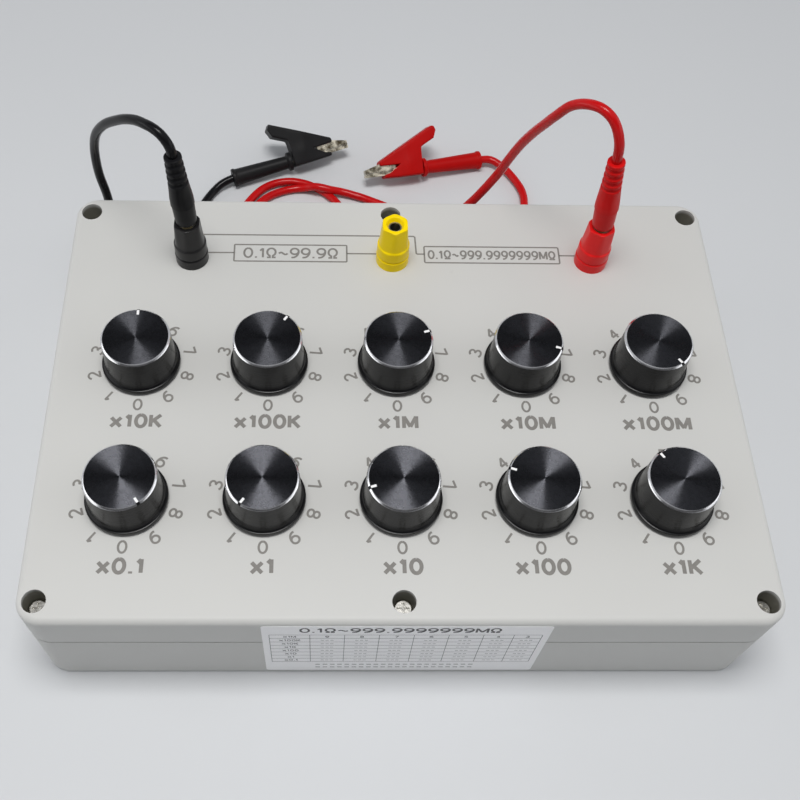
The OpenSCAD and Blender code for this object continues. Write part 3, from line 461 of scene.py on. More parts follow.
def boot_shells(colour):
    """A boot: a turned barrel along -X; a slab from the lever's end to the upper lip, whose lower line is the lever's
    underside, then the chin and, past the slot, the lip; and a second slab for the lower lip under the slot."""
    profile = filleted([(1.95, -29.6, 0), (2.6, -30, 0.2), (4.4, -30, 0.35), (4.4, -28.6, 0.35), (4, -28.2, 0.3),
                        (3.15, -2.2, 0.5), (4.5, -1.6, 0.3), (4.5, 0.1, 0.3), (3, 0.2, 0)])
    barrel = turned(profile, 48)[..., [2, 0, 1]]
    swell = 0.4
    x = np.concatenate([[-7.7, -7.6, -7.4, -7.1, -6.75, -6.3], np.linspace(-5.7, 0.2, 10),
                        [0.45, 0.65, 0.8, 0.9, 0.97, 1.05], np.linspace(1.4, 11.6, 20), [11.95, 12.05],
                        np.linspace(12.4, 21.3, 16), [21.6, 21.85, 21.95, 22]])
    tail = {"black": ([-7.7, -6.3], [17.3, roof(-6.3)]),
            "red": ([-7.7, -7.5, -7.1, -6.5, -5.7], [17, 17.9, 18.7, 19.15, roof(-5.7)])}[colour]
    high = np.where(x < tail[0][-1], np.interp(x, *tail), roof(x))
    low = np.interp(x, [-7.7, -7.1, -6.3, 0.2, 0.65, 0.9, 0.97, 1.05, 11.95, 12.05, 22],
                    [16.6, 15.2, 13.2, 10, 9.2, 7.2, 4, -3.2, -3.1, 2.95, 3.25])
    inset = np.interp(x, [-7.7, -7.4, -6.75, 21.3, 21.6, 21.85, 21.95, 22], [0.5, 0.15, 0, 0, 0.08, 0.25, 0.4, 0.6])
    under = np.interp(x, [0.6, 1.4, 11.6, 12.4], [0.8, 1, 1, 0.5])
    nose = inset * (x > 12)
    head = slab(x, low + nose, high - nose, head_width(x) - 2 * inset, under, 0.9 + 0 * x, swell)
    x = np.concatenate([np.linspace(9, 12, 7), np.linspace(12.5, 19.7, 14), [20, 20.2, 20.3]])
    inset = np.interp(x, [19.7, 20, 20.2, 20.3], [0, 0.1, 0.3, 0.55])
    low = np.interp(x, [9, 20.3], [-3.12, -2.85])
    high = np.interp(x, [9, 12, 17.2, 20.3], [2.95, 2.95, -0.65, -1.35])
    lip = slab(x, low + inset, high - inset * 0.6, head_width(x) - 2 * inset, 0.9 + 0 * x, 0.25 + 0 * x, swell)
    return [shell(clip_place(grid, colour)) for grid in (barrel, head, lip)]


def jaw_plating(place):
    """Nickel plating with a warm cast, rolled streaks and a little tarnish."""
    tarnish = place.noise(420, 4).clip(0.32, 0.62)
    return {"Base_Color": tarnish.between(tint(104, 92, 70), tint(238, 231, 210)),
            "Roughness": 0.16 + 0.2 * tarnish, "Normal": place.noise(2200, 2).bump(0.1, 0.00005)}


def spring_wire(place):
    """Drawn steel wire, a little uneven in gloss."""
    return {"Roughness": 0.3 + 0.2 * place.noise(900)}


boot_finish = {
    "black": finish("soft_pvc_black", moulding(tint(24, 24, 25), tint(36, 36, 37), 0.42), Specular_IOR_Level=0.12),
    "red": finish("soft_pvc_red", moulding(tint(166, 8, 8), tint(188, 16, 14), 0.42), Specular_IOR_Level=0.1)}
jaw_finish = finish("jaw_plating", jaw_plating, Metallic=1.0)
spring_finish = finish("spring_wire", spring_wire, Metallic=1.0, Base_Color=tint(150, 150, 154))
hinge_band = np.array(((0.67, 2.51, 0), (2.38, 8.89, 0)))
boot = {}
for colour in lead_colours:
    boot[colour] = assemble(f"boot_{colour}", boot_shells(colour), [boot_finish[colour]])
    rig.replaces(boot[colour], f"clip_boot_{colour}", f"clip_lever_{colour}")
    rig.slot(boot[colour], f"boot_{colour}")
    start, end = clip_place(hinge_band, colour) / 1000
    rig.blend(boot[colour], "box", f"clip_jaw_{colour}", start=start, end=end)
    node[f"clip_upper_jaw_{colour}"].data.materials[0] = jaw_finish
for part, coat in (("clip_lower_jaws", jaw_finish), ("clip_pivots", jaw_finish), ("clip_springs", spring_finish)):
    node[part].data.materials[0] = coat

# Test leads: limp stranded wire in a glossy PVC jacket, 3.7 mm thick.
# The black one falls behind the box into a folded hank and the red one into a loose double loop; both run on to
# their clips.
cord_d = 3.7
jacket_r = 0.51 * cord_d
near_route = {
    "black": [(-82.4, 61.5, 111.9), (-82.5, 61.5, 112.9), (-83, 61.9, 115.8), (-84.4, 62.9, 118.4),
              (-86.4, 64.4, 120.1), (-88.9, 66.3, 120.7), (-91.4, 68.4, 120.2), (-95.5, 72.6, 118),
              (-100.3, 77.3, 114), (-105, 81.8, 109), (-111.5, 87.8, 101), (-117, 93.2, 91), (-120, 96.8, 81),
              (-121.5, 98.8, 70.5), (-122, 100.2, 60), (-121.4, 101, 49.5), (-121.6, 102, 40.3),
              (-123.4, 103.3, 31.8), (-126, 104.5, 25.4), (-128, 106, 20), (-128.9, 108.5, 16.2),
              (-128.4, 112.6, 14.2)],
    "red": [(78.2, 61.5, 111.8), (77.3, 61.9, 119.5), (75.2, 63.9, 125.5), (72.6, 66.1, 128.8), (69, 69.3, 129.8),
            (64.6, 73.2, 127.8), (60.8, 76.9, 123.3), (57.6, 80, 116.1), (55.5, 83.4, 109), (52.8, 88.7, 98.5),
            (50.2, 93.4, 87.5), (47.8, 97.2, 76), (45.2, 99.6, 65), (40.8, 100.7, 54), (36, 101.6, 44),
            (31.6, 103.8, 35), (26, 107.2, 27), (19, 111.9, 19), (10.8, 115.6, 10.7), (1.4, 116.6, 4.9),
            (-9, 114.5, 2.3)]}
far_route = {
    "black": [(-102, 119, 2.1), (-95.8, 121.6, 2.1), (-91, 127.2, 2.1), (-87.8, 133.6, 2.1), (-84.9, 139.7, 2.1),
              (-81.9, 144.7, 2.4), (-78, 148.6, 3.5), (-72.6, 151.4, 4.52), (-67.9, 153.1, 4.8)],
    "red": [(-20.1, 144.8, 3.1), (-10.2, 142.2, 2.1), (-0.4, 137.6, 2.1), (9.5, 132.4, 2.1), (20.3, 127.5, 2.1),
            (32.2, 123.5, 2.1), (44, 121.6, 2.1), (54.8, 122.6, 2.1), (63.7, 127, 2.1), (68.8, 134, 2.1),
            (70.3, 141, 2.1), (69.7, 147.4, 2.1), (67.3, 153.4, 2.3), (63.9, 158.8, 2.8), (59.9, 163, 3.6),
            (55, 165.9, 4.2), (49.6, 165.4, 4.52), (44.8, 164.2, 4.8)]}


def hank():
    """Folded hank: turns of a stadium, clockwise from its left end, that sink by a cord's thickness each turn."""
    half, radius = 17.65, 11
    middle_x, middle_y, top_z, sink = -100.4, 108, 14.3, 3.82
    arc = np.pi * radius
    stops = np.cumsum([0, arc / 2, 2 * half, arc, 2 * half, arc / 2])
    count = np.arange(1, 51) / 16 + 0.02
    run = (count % 1) * stops[-1]
    core = np.interp(run, stops, [-half, -half, half, half, -half, -half])
    angle = np.interp(run, stops, np.pi * np.array([1, 0.5, 0.5, -0.5, -0.5, -1]))
    return np.stack([middle_x + core + radius * np.cos(angle), middle_y + radius * np.sin(angle),
                     np.maximum(top_z - sink * count, 2)], -1)


def loop():
    """Loose double loop: a spiral of nearly two clockwise turns whose end rides over the first turn in a low hump."""
    angle = -np.arange(40, 671, 15.0)
    radius = np.interp(-angle, [40, 65, 90, 135, 180, 215, 231, 243, 255, 265, 277, 287, 303, 320, 360, 450, 540, 580,
                                615, 628, 642, 655, 662, 670],
                       [31.5, 29.5, 28.6, 27.6, 26.8, 26.7, 27.7, 28.3, 28.2, 27.8, 26.9, 26.2, 24.9, 24.6, 24.2, 23.4,
                        22.3, 22, 22.2, 22.9, 23.4, 23.6, 24.7, 26.2])
    middle_x, middle_y, rest_z, hump = -41.8, 124.3, 1.95, 3.85
    a = np.radians(angle)
    return np.stack([middle_x + radius * np.cos(a), middle_y + radius * np.sin(a),
                     rest_z + hump * np.exp(-((angle + 661) / 16) ** 2)], -1)


def smooth_run(points, pieces=8):
    """Centripetal curve through the points: on each span a cubic whose end slopes come from the neighbours, weighted
    by the square roots of their distances."""
    p = np.vstack([2 * points[0] - points[1], points, 2 * points[-1] - points[-2]])
    gap = np.linalg.norm(np.diff(p, axis=0), axis=1)[:, None] ** 0.5
    a, b, c, d = p[:-3], p[1:-2], p[2:-1], p[3:]
    before, span, after = gap[:-2], gap[1:-1], gap[2:]
    leave = (c - b) + span * ((b - a) / before - (c - a) / (before + span))
    arrive = (c - b) + span * ((d - c) / after - (d - b) / (span + after))
    t = (np.arange(pieces) / pieces)[:, None, None]
    curve = ((2 * t ** 3 - 3 * t ** 2 + 1) * b + (t ** 3 - 2 * t ** 2 + t) * leave
             + (3 * t ** 2 - 2 * t ** 3) * c + (t ** 3 - t ** 2) * arrive)
    return np.vstack([curve.transpose(1, 0, 2).reshape(-1, 3), points[-1:]])


def tube(path, radius, sides=20):
    """Round tube: a circle square to the path at each of its points, carried along without twist."""
    along = np.gradient(path, axis=0)
    along /= np.linalg.norm(along, axis=1)[:, None]

    def carry(normal, direction):
        normal = normal - (normal @ direction) * direction
        return normal / np.linalg.norm(normal)

    out = np.array(list(accumulate(along[1:], carry, initial=carry(np.array((0.6, 0.64, 0.48)), along[0]))))
    side = np.cross(along, out)
    angle = np.linspace(0, 2 * np.pi, sides, endpoint=False)[:, None, None]
    return (path + radius * (np.cos(angle) * out + np.sin(angle) * side)).transpose(1, 0, 2)


cord_finish = {
    "black": finish("jacket_black", moulding(tint(14, 14, 16), tint(24, 24, 26), 0.2, 700, 0.05),
                    Specular_IOR_Level=0.15),
    "red": finish("jacket_red", moulding(tint(176, 10, 14), tint(198, 20, 22), 0.2, 700, 0.05),
                  Specular_IOR_Level=0.22)}
coil = {"black": hank(), "red": loop()}
for colour in lead_colours:
    path = smooth_run(np.vstack([near_route[colour], coil[colour], far_route[colour]]))
    lead = assemble(f"lead_{colour}", [shell(tube(path, jacket_r))], [cord_finish[colour]])
    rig.replaces(lead, *(f"lead_{part}_{colour}" for part in ("near", "bundle", "far")))
    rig.slot(lead, f"lead_{colour}")
    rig.blend(lead, f"plug_{colour}", "box", start=(0, 0, 0.1115), end=(0, 0, {"black": 0.014, "red": 0.006}[colour]))
    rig.cord(lead, exit=path[0] / 1000, length=0.66, diameter=cord_d / 1000, far_end="connector", stiffness="limp",
            lay="loose", path=path / 1000,
            with_pieces=[plug[colour], boot[colour], node[f"clip_upper_jaw_{colour}"]])

# Enclosure: base and lid injection moulded in light grey plastic with a fine etched texture.
# A rubber cord lies in the parting, and six screws hold the lid from above, deep in their wells.
grey_low, grey_high = tint(195, 195, 192), tint(203, 203, 200)
panel_z = 54.5
well_x, well_y = 124.5, 85.2
well_wall = 4.7


def etched_grey(place):
    """Light grey plastic: a slow drift of tone, sparse dark specks in the resin and the etched mould's grain; the walls
    of the screw wells, near the wells' axes and below the panel, get a painted shade of dark olive grey."""
    drift = place.noise(14, 4)
    specks = place.node("TexVoronoi", {"feature": "F1"}, {"Vector": place, "Scale": 62.0, "Randomness": 1.0})
    rare = place.noise(23, 1).clip(0.66, 0.72)
    speck = rare * (1 - specks.clip(0.035, 0.07))
    x, y, z = (1000 * place.node("SeparateXYZ", None, {"Vector": place}, axis) for axis in "XYZ")
    off_middle = x.math("ABSOLUTE", x)
    beside = x.math("MINIMUM", off_middle, x.math("ABSOLUTE", off_middle - well_x))
    ahead = y.math("ABSOLUTE", y) - well_y
    # Painted shade: this mask marks the walls of the screw wells, which are mixed towards a dark olive grey below.
    well_shade = ((1 - (beside * beside + ahead * ahead).clip(well_wall ** 2, well_wall ** 2 + 2))
              * (1 - z.clip(panel_z - 2.3, panel_z - 0.8)))
    body = well_shade.between(drift.between(grey_low, grey_high), tint(122, 120, 110))
    return {"Base_Color": (0.3 * speck).between(body, tint(120, 118, 112)),
            "Roughness": 0.5 + 0.12 * (drift - 0.5),
            "Normal": place.noise(2600, 3, 0.6).bump(0.22, 0.00006)}


def rubber(place):
    """Dull black rubber."""
    return {"Roughness": 0.7 + 0.2 * place.noise(400), "Normal": place.noise(1500).bump(0.2, 0.0001)}


def zinc(place):
    """Bright zinc plating, with the swirl of the tumbling barrel."""
    swirl = place.noise(700, 3)
    return {"Base_Color": swirl.between(tint(188, 186, 180), tint(232, 230, 224)), "Roughness": 0.14 + 0.18 * swirl}


def brass(place):
    """Turned brass with fine marks."""
    marks = place.noise(1100, 2)
    return {"Base_Color": marks.between(tint(176, 140, 74), tint(206, 174, 104)), "Roughness": 0.25 + 0.2 * marks}


grey_finish = finish("etched_grey", etched_grey, Specular_IOR_Level=0.35)
zinc_finish = finish("bright_zinc", zinc, Metallic=1.0)
brass_finish = finish("turned_brass", brass, Metallic=1.0)
rubber_finish = finish("seal_rubber", rubber, Base_Color=tint(40, 40, 40))
for part, coat in (("base_box", grey_finish), ("lid", grey_finish), ("gasket", rubber_finish),
                   ("lid_screws", zinc_finish), ("thread_inserts", brass_finish)):
    node[part].data.materials[0] = coat

# Panel print: grey ink, silk-screened on the panel in one pass.
# Each dial has its ten digits and its multiplier, and a wiring line with two range boxes joins the terminals.
dials = ("tenths", "ones", "tens", "hundreds", "1k", "10k", "100k", "1m", "10m", "100m")
multipliers = ("x0.1", "x1", "x10", "x100", "x1K", "x10K", "x100K", "x1M", "x10M", "x100M")
settings = (9, 1, 2, 3, 4, 5, 6, 7, 8, 9)
dial_pitch, front_row_y, back_row_y = 48.45, -47.1, 10.2
dial_at = [((i % 5 - 2) * dial_pitch, front_row_y if i < 5 else back_row_y) for i in range(10)]
digit_ring, digit_step, multiplier_drop = 18.4, 36, 25.4
line_width = 0.66
ink_top, ink_foot, ink_layer = 0.03, -0.025, 0.02


def stroke(points, width, closed=False, lift=0.0):
    """Printed line: a thin flat bar carried along the points, mitred at its corners; very sharp mitres are held in,
    and lift puts one that crosses another on top of it."""
    p = np.array(points, float)
    ahead = np.roll(p, -1, 0) - p
    if not closed:
        ahead[-1] = ahead[-2]
    ahead /= np.linalg.norm(ahead, axis=1)[:, None]
    behind = np.roll(ahead, 1, 0)
    if not closed:
        behind[0] = ahead[0]
    normal = np.stack([-(ahead + behind)[:, 1], (ahead + behind)[:, 0]], -1)
    normal /= np.linalg.norm(normal, axis=1)[:, None]
    normal /= np.maximum(np.abs((normal * np.stack([-ahead[:, 1], ahead[:, 0]], -1)).sum(1)), 0.6)[:, None]
    side = normal * width / 2
    ring = np.stack([np.column_stack([p + s * side, np.full(len(p), panel_z + z)])
                     for s, z in ((1, ink_top + lift), (1, ink_foot), (-1, ink_foot), (-1, ink_top + lift))], 1)
    if closed:
        ring = np.concatenate([ring, ring[:1]])
    return shell(ring, (not closed, not closed))


def bow(x, y, wide, tall, start, end):
    """Points of an elliptic arc about (x, y), from one angle in degrees to another."""
    angle = np.radians(np.linspace(start, end, 3 + int(abs(end - start) / 18)))
    return np.stack([x + wide * np.cos(angle), y + tall * np.sin(angle)], -1)


six = [bow(0.74, 0.34, 0.74, 0.66, 78, 176), bow(0.5, 0.32, 0.5, 0.32, 180, 540)]
glyphs = {
    "0": [bow(0.5, 0.5, 0.5, 0.5, 90, 450)], "1": [[(0.75, 1), (0.75, 0)], [(0.05, 0.72), (0.7, 0.97)]],
    "2": [np.vstack([bow(0.5, 0.7, 0.47, 0.3, 165, -38), [(0.08, 0.03)]]), [(0, 0), (1, 0)]],
    "3": [bow(0.46, 0.76, 0.44, 0.24, 150, -90), bow(0.46, 0.26, 0.53, 0.26, 90, -155)],
    "4": [[(0.72, 0), (0.72, 1)], [(0.7, 0.96), (0.04, 0.33)], [(0, 0.3), (1, 0.3)]],
    "5": [np.vstack([[(0.9, 1), (0.2, 1), (0.1, 0.5)], bow(0.48, 0.33, 0.5, 0.33, 130, -150)])],
    "6": six, "7": [[(0, 1), (1.08, 1)], [(0.98, 0.97), (0.36, 0)]],
    "8": [bow(0.5, 0.76, 0.43, 0.24, -90, 270), bow(0.5, 0.26, 0.5, 0.26, 90, 450)], "9": [1 - line for line in six],
    "x": [[(0, 0), (1, 0.76)], [(0, 0.76), (1, 0)]],
    "K": [[(0, 0), (0, 1)], [(1, 1), (0, 0.38)], [(0.3, 0.57), (1, 0)]],
    "M": [[(0, 0), (0, 1)], [(0.03, 0.96), (0.5, 0.1)], [(0.5, 0.1), (0.97, 0.96)], [(1, 1), (1, 0)]],
    ".": [[(0.5, -0.06), (0.5, 0.1)]],
    "Ω": [np.vstack([[(0, 0), (0.33, 0)], bow(0.5, 0.58, 0.48, 0.42, 248, -68), [(0.67, 0), (1, 0)]])],
    "~": [np.column_stack([np.linspace(0, 1, 13), 0.44 + 0.11 * np.sin(np.linspace(0, 2 * np.pi, 13))])],
    "-": [[(0, 0.44), (1, 0.44)]]}
glyph_share = {"1": 0.5, ".": 0.2, "M": 1.3, "Ω": 1.1, "~": 1.1}


def lettering(words, cap, wide, weight, at, turn=0, gap=0.7):
    """Print of the words: each character's strokes, scaled to a cap height and a width in mm, set side by side with
    the same gap, turned about the upright axis and centred on a place of the panel."""
    widths = [wide * glyph_share.get(letter, 1) for letter in words]
    lefts = np.cumsum([0] + [width + gap for width in widths])
    c, s = np.cos(np.radians(turn)), np.sin(np.radians(turn))
    made = []
    for letter, left, width in zip(words, lefts, widths):
        for layer, line in enumerate(glyphs[letter]):
            flat = np.array(line) * (width, cap) + (left - (lefts[-1] - gap) / 2, -cap / 2)
            made.append(stroke(flat @ np.array(((c, s), (-s, c))) + at, weight, lift=ink_layer * layer))
    return made


def range_box(low, high, corner):
    """Outline of a printed box with corners rounded by quarter circles."""
    angle = np.radians(np.linspace(0, 90, 6)[None] + np.array((0, 90, 180, 270))[:, None])
    middle = np.array(((1, 1), (-1, 1), (-1, -1), (1, -1)))
    reach = (np.array(high) - low) / 2 - corner
    centre = (np.array(high) + low) / 2 + middle * reach
    return (centre[:, None] + corner * np.stack([np.cos(angle), np.sin(angle)], -1)).reshape(-1, 2)


def screen_ink(place):
    """Dull grey ink, a little uneven where the screen laid it thin."""
    thin = place.noise(520, 3)
    return {"Base_Color": thin.between(tint(112, 110, 106), tint(138, 135, 130)), "Roughness": 0.5 + 0.2 * thin}


ink_finish = finish("screen_ink", screen_ink)
prints = []
for (x, y), multiplier in zip(dial_at, multipliers):
    for digit in range(10):
        angle = np.radians(-90 - digit_step * digit)
        at = (x + digit_ring * np.cos(angle), y + digit_ring * np.sin(angle))
        prints += lettering(str(digit), cap=4.3, wide=2.85, weight=0.82, at=at,
                            turn=-180 - digit_step * digit + 180 * (digit == 0))
    prints += lettering(multiplier, cap=5, wide=3.6, weight=1.4, at=(x, y - multiplier_drop), gap=1.85)
prints += lettering("0.1Ω~99.9Ω", cap=4.7, wide=3.25, weight=0.85, at=(-41.4, 64.3), gap=1.25)
prints += lettering("0.1Ω~999.9999999MΩ", cap=4, wide=2.15, weight=0.76, at=(41, 64.15), gap=0.97)
for line in ([(-79, 73.65), (9.2, 73.65), (9.7, 73.15), (10, 64.75), (10.4, 64.35), (13.4, 64.35)],
             [(-79, 64.25), (-64.4, 64.25)], [(-18.5, 64.25), (-4, 64.25)], [(68.7, 64.15), (78, 64.15)]):
    prints.append(stroke(line, line_width))
for low, high, corner in (((-64.4, 59.95), (-18.5, 68.5), 0.4), ((13.3, 59.95), (68.7, 68.35), 0.6)):
    prints.append(stroke(range_box(low, high, corner), line_width, True))
panel_print = assemble("panel_print", prints, [ink_finish])
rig.ride(panel_print, "box")

# Rating label: white film on the front wall across the parting, with a black printed table.
# Its words are plain dashes and numbers.
label_low, label_high = (-48.5, 2.75), (50.8, 51.9)
label_y = -93
film_thickness = 0.08
rule_width = 0.16


def label_sheet():
    """Thin sheet with rounded corners, lying on the front wall."""
    edge = range_box(label_low, label_high, 1.2)
    rows = [np.column_stack([edge[:, 0], np.full(len(edge), label_y - lift), edge[:, 1]])
            for lift in (0, film_thickness)]
    return shell(np.array(rows))


def on_label(printed):
    """Stands a print that lies on the panel up on the label's face."""
    points, faces, uvs, material = printed
    upright = np.column_stack([points[:, 0], label_y - film_thickness - (points[:, 2] - panel_z), points[:, 1]])
    return upright, faces, uvs, 1


def label_film(place):
    """White coated film with a faint fibre."""
    fibre = place.noise(800, 4)
    return {"Base_Color": fibre.between(tint(246, 246, 247), tint(252, 252, 253)), "Roughness": 0.38 + 0.15 * fibre}


def label_ink(place):
    """Black thermal print."""
    return {"Base_Color": place.noise(900, 3).between(tint(30, 30, 32), tint(58, 58, 60)), "Roughness": 0.45}


label_print = lettering("0.1Ω~999.9999999MΩ", cap=4, wide=2.9, weight=0.75, at=(-1, 47.9), gap=1.2)
table_rows = np.linspace(13.2, 43.2, 9)
table_columns = np.array((-46, -32, -20, -8, 4, 16, 28, 38.5, 48.3))
label_print += [stroke([(table_columns[0], z), (table_columns[-1], z)], rule_width) for z in table_rows]
label_print += [stroke([(x, table_rows[0]), (x, table_rows[-1])], rule_width, lift=ink_layer) for x in table_columns]
for column, (x0, x1) in enumerate(zip(table_columns[:-1], table_columns[1:])):
    for row, (z0, z1) in enumerate(zip(table_rows[:-1], table_rows[1:])):
        words = multipliers[row] if column == 0 else str(10 - column) if row == 7 else "---"
        label_print += lettering(words, cap=1.6, wide=1.15, weight=0.24, at=((x0 + x1) / 2, (z0 + z1) / 2), gap=0.5)
for z in (9.8, 6.5):
    label_print += lettering("-" * 22, cap=1.6, wide=1.7, weight=0.5, at=(-1, z), gap=1)
label = assemble("rating_label", [label_sheet()] + [on_label(p) for p in label_print],
                 [finish("label_film", label_film), finish("label_ink", label_ink)])
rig.ride(label, "box")

# Switches and wiring, inside the box: moulded rotary switches held by nuts, on a board with the resistors.
# Only the nuts' edges can be glimpsed, below the knobs.


def switch_plastic(place):
    """Dark blue glass-filled plastic."""
    return {"Roughness": 0.4 + 0.2 * place.noise(300), "Normal": place.noise(900).bump(0.15, 0.0001)}


def solder_mask(place):
    """Green lacquer over copper tracks that show as faint lines."""
    tracks = place.node("TexWave", {"wave_type": "BANDS", "bands_direction": "X"},
                        {"Vector": place, "Scale": 160.0, "Distortion": 2.0, "Detail": 1.0})
    return {"Base_Color": tracks.between(tint(24, 78, 44), tint(40, 104, 60)), "Roughness": 0.3 + 0.1 * tracks}


def lacquer(place):
    """Pale blue resistor lacquer with colour bands along its length."""
    bands = place.node("TexWave", {"wave_type": "BANDS", "bands_direction": "Y"}, {"Vector": place, "Scale": 320.0})
    return {"Base_Color": bands.clip(0.8, 0.9).between(tint(130, 168, 196), tint(110, 60, 40)), "Roughness": 0.35}


def insulation(place):
    """Red wire insulation."""
    return {"Base_Color": place.noise(200).between(tint(150, 24, 24), tint(176, 40, 38)), "Roughness": 0.4}


for part, coat in (("switch_bodies", finish("switch_plastic", switch_plastic, Base_Color=tint(42, 52, 78))),
                   ("switch_nuts", zinc_finish), ("circuit_board", finish("solder_mask", solder_mask)),
                   ("resistors", finish("resistor_lacquer", lacquer)),
                   ("link_wires", finish("wire_insulation", insulation))):
    node[part].data.materials[0] = coat
for dial in dials:
    node[f"shaft_{dial}"].data.materials[0] = zinc_finish

# Knobs: turned from aluminium and anodised black, with a flared foot and a spun top.
# The top's edge is cut bright after the anodising; a white bar and a dark nick over that edge point at the digit.
knob_foot_z = 55.1
top_r, top_z, top_dish = 12.1, 17, 0.12


def knob_shells(place_xy, setting):
    """A knob: one turned profile in three finishes (body with a quarter-ellipse flare, cut edge, spun top), and the
    pointer, a white bar on the top that a dark notch carries over the cut edge."""
    foot = filleted([(3.02, 11.8, 0), (3.02, 5.7, 0), (9, 5.7, 0), (9, 0, 0), (14.4, 0, 0.25), (14.75, 0.3, 0.2),
                     (14.75, 1.75, 0.1), (14.65, 1.95, 0)])
    sweep = np.radians(np.linspace(0, 90, 10))
    flare = np.column_stack([14.6 - 1.22 * np.sin(sweep), 4.3 - 2.25 * np.cos(sweep)])
    body = np.vstack([foot, flare, [(13.2, 7.5), (12.9, 14.5), (12.82, 16.3)]])
    edge = np.array(((12.82, 16.3), (12.62, 16.55), (12.3, 16.86), (top_r, top_z)))
    top = np.array([(r, top_z - top_dish * (1 - (r / top_r) ** 2)) for r in (top_r, 11.6, 10, 8, 6, 4, 2, 0.6)])
    white = np.array(((10, 16.6), (12.08, 16.6), (12.08, 17.04), (10, 17.02)))
    notch = np.array(((12.02, 16.1), (12.9, 16.2), (12.88, 16.36), (12.68, 16.6), (12.36, 16.92), (12.02, 17.05)))
    angle = np.radians(-90 - digit_step * setting)
    c, s = np.cos(angle), np.sin(angle)

    def bar(outline, half):
        across = np.array((half, half - 0.04, 0.04 - half, -half))
        middle = outline.mean(0)
        slices = middle + (outline - middle) * np.array((0.95, 1, 1, 0.95))[:, None, None]
        grid = np.stack([slices[..., 0], across[:, None] + 0 * slices[..., 0], slices[..., 1]], -1)
        return grid @ np.array(((c, s, 0), (-s, c, 0), (0, 0, 1)))

    parts = ((turned(body, 96), (True, False), 0), (turned(edge, 96), (False, False), 1),
             (turned(top, 96), (False, True), 2), (bar(white, 0.45), (True, True), 3),
             (bar(notch, 0.6), (True, True), 0))
    return [shell(grid + (*place_xy, knob_foot_z), ends, material) for grid, ends, material in parts]


def anodised(place):
    """Black anodising on a turned flank: fine rings across the height and a slow drift of gloss."""
    rings = place.node("TexNoise", None, {
        "Vector": place.node("Mapping", None, {"Vector": place, "Scale": (30, 30, 5200)}), "Scale": 1.0, "Detail": 2.0})
    return {"Base_Color": rings.between(tint(10, 10, 11), tint(20, 20, 22)), "Roughness": 0.2 + 0.12 * rings,
            "Normal": rings.bump(0.08, 0.00004)}


def cut_edge(place):
    """Bright cut aluminium."""
    return {"Base_Color": place.noise(900, 2).between(tint(210, 210, 212), tint(240, 240, 242)),
            "Roughness": 0.16 + 0.12 * place.noise(400)}


def spun_top(place):
    """Spun and anodised face: dark metal whose fine rings spread the light along each radius."""
    drift = place.noise(600, 3)
    return {"Base_Color": drift.between(tint(70, 71, 75), tint(84, 85, 90)), "Roughness": 0.25 + 0.05 * drift}


def pointer_paint(place):
    """White paint of the pointer's bar."""
    return {"Base_Color": place.noise(900).between(tint(232, 232, 232), tint(246, 246, 246)), "Roughness": 0.4}


knob_finishes = [finish("black_anodising", anodised, Specular_IOR_Level=0.24),
                 finish("bright_cut_edge", cut_edge, Metallic=1.0),
                 finish("spun_anodising", spun_top, Metallic=1.0, Anisotropic=0.97, Anisotropic_Rotation=0.25),
                 finish("pointer_white", pointer_paint)]
for dial, place_xy, setting in zip(dials, dial_at, settings):
    knob = assemble(f"dial_knob_{dial}", knob_shells(place_xy, setting), knob_finishes, 30)
    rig.ride(knob, f"dial_{dial}")
    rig.replaces(knob, f"knob_{dial}")
    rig.slot(knob, "knob_black")

# Terminals: plated studs with a 4 mm socket, clamped through the panel in moulded collars.
# A moulded cap screws down each stud; its six flats are for the fingers and its funnel leads the plug in.
cap_foot = 59.7
cap_top = 16.4


def cap_skin():
    """Screw cap: a turned profile whose grip is cut back to six tapered flats, which run out over the skirt."""
    profile = filleted([(4.8, 1.5, 0), (4.8, 0, 0), (6.35, 0, 0.15), (6.45, 0.25, 0.15), (6.45, 5, 0.3),
                        (6.02, 5.7, 0.25), (5.9, 7, 0.3), (5.45, 16.1, 0.3), (5.1, cap_top, 0.25), (3.55, cap_top, 0.2),
                        (2.45, 14.4, 0.2), (2.4, 13.6, 0), (3.3, 13.6, 0), (3.3, 11.4, 0), (4.05, 11.4, 0),
                        (4.05, 1.5, 0)])
    row = np.arange(len(profile))
    finer = np.linspace(0, row[-1], 3 * row[-1] + 1)
    grid = turned(np.column_stack([np.interp(finer, row, profile[:, 0]), np.interp(finer, row, profile[:, 1])]), 120)
    angle = np.arctan2(grid[..., 1], grid[..., 0])
    radius = np.hypot(grid[..., 0], grid[..., 1])
    up = grid[..., 2]
    off_flat = (angle + np.pi / 6) % (np.pi / 3) - np.pi / 6
    flat_r, flat_taper, skirt_z, crispness = 4.9, 5, 5.6, 40
    inner = flat_r + (cap_top - up) * np.tan(np.radians(flat_taper)) + np.clip((skirt_z - up) / 0.9, 0, 5) ** 2
    limit = inner / np.cos(off_flat)
    cut = (radius ** -crispness + limit ** -crispness) ** (-1 / crispness)
    grid[..., :2] *= np.where(radius > 4.6, cut / radius, 1)[..., None]
    return grid


def socket_plating(place):
    """Nickel plating, a little dull."""
    return {"Base_Color": place.noise(500).between(tint(170, 166, 152), tint(206, 202, 190)),
            "Roughness": 0.25 + 0.15 * place.noise(900)}


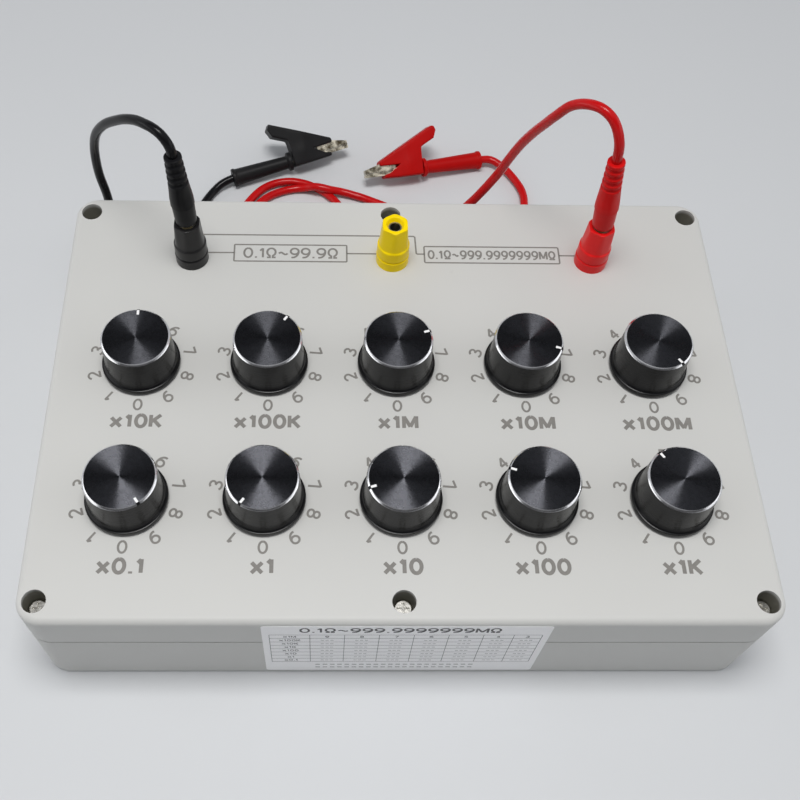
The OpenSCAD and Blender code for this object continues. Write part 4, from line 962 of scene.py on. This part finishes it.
socket_finish = finish("socket_plating", socket_plating, Metallic=1.0)
for part in ("terminal_studs", "terminal_nuts"):
    node[part].data.materials[0] = socket_finish
cap_finish = {
    "black": finish("cap_black", moulding(tint(22, 21, 22), tint(34, 33, 34), 0.3), Specular_IOR_Level=0.3),
    "yellow": finish("cap_yellow", moulding(tint(246, 212, 2), tint(254, 224, 6), 0.32), Specular_IOR_Level=0.16),
    "red": finish("cap_red", moulding(tint(216, 18, 20), tint(234, 30, 30), 0.32), Specular_IOR_Level=0.25)}
for colour, coat in cap_finish.items():
    skin = cap_skin() + (terminal_x[colour], terminal_y, cap_foot)
    cap = assemble(f"screw_cap_{colour}", [shell(np.concatenate([skin, skin[:1]]), (False, False))], [coat], 24)
    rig.ride(cap, f"cap_{colour}")
    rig.replaces(cap, f"terminal_cap_{colour}")
    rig.slot(cap, f"terminal_{colour}")
    node[f"terminal_collar_{colour}"].data.materials[0] = coat
    node[f"terminal_sleeve_{colour}"].data.materials[0] = brass_finish

# Bench and light: a pale, slightly blue table top under a soft box that hangs above the box and faces forward.
# A screen of light stands at each side, and the soft sky is darker low in front and high behind.


def table_top(place):
    """Matt pale laminate with a very faint cloud."""
    cloud = place.noise(3, 4)
    return {"Base_Color": cloud.between(tint(204, 206, 208), tint(209, 211, 213)), "Roughness": 0.5 + 0.1 * cloud}


half_bench = 3.0
bench_mesh = bpy.data.meshes.new("bench")
bench_mesh.from_pydata([(x * half_bench, y * half_bench, 0) for x, y in ((-1, -1), (1, -1), (1, 1), (-1, 1))], [],
                       [(0, 1, 2, 3)])
bench_mesh.materials.append(finish("bench_laminate", table_top, Specular_IOR_Level=0.3))
bench = bpy.data.objects.new("bench", bench_mesh)
bpy.context.scene.collection.objects.link(bench)
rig.stage(bench)


def panel_light(name, at, towards, width, depth, power, colour):
    """Rectangular light at a place, facing a point, both in metres."""
    data = bpy.data.lights.new(name, "AREA")
    data.shape = "RECTANGLE"
    data.size = width
    data.size_y = depth
    data.energy = power
    data.color = colour
    lamp = bpy.data.objects.new(name, data)
    away = np.array(at, float) - towards
    away /= np.linalg.norm(away)
    right = np.cross((0, 0, 1), away)
    right /= np.linalg.norm(right)
    axes = np.eye(4)
    axes[:3] = np.column_stack([right, np.cross(away, right), away, at])
    lamp.matrix_world = Matrix(axes)
    bpy.context.scene.collection.objects.link(lamp)


panel_light("soft_box", at=(-0.05, -0.05, 1.1), towards=(-0.05, -0.5, 0), width=0.46, depth=0.3, power=8.2,
            colour=(1, 0.99, 0.98))
for name, x, power in (("left_screen", -1.2, 2.6), ("right_screen", 1.2, 1.9)):
    panel_light(name, at=(x, -0.15, 0.35), towards=(0, 0, 0.06), width=1.3, depth=0.5, power=power,
                colour=(0.98, 0.99, 1))
sky = bpy.data.worlds.new("sky")
sky.use_nodes = True
heading = Tone(sky.node_tree).node("TexCoord", out="Generated")
ahead, above = (heading.node("SeparateXYZ", None, {"Vector": heading}, axis) for axis in "YZ")
low_front = (0 - ahead).clip(0.1, 0.6) * above.clip(0.05, 0.25) * (1 - above.clip(0.5, 0.95))
high_rear = ahead.clip(0.15, 0.4) * above.clip(0.5, 0.75)
sky_light = sky.node_tree.nodes["Background"]
heading.plug_into(sky_light.inputs["Color"], (low_front + high_rear).between((0.53, 0.54, 0.56), (0.05, 0.05, 0.052)))
bpy.context.scene.world = sky
bpy.context.scene.view_settings.view_transform = "Standard"

with open("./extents.json", "w") as size_file:
    json.dump({"cad": cad_box, "visual": [list(corner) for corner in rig.bounds()]}, size_file)
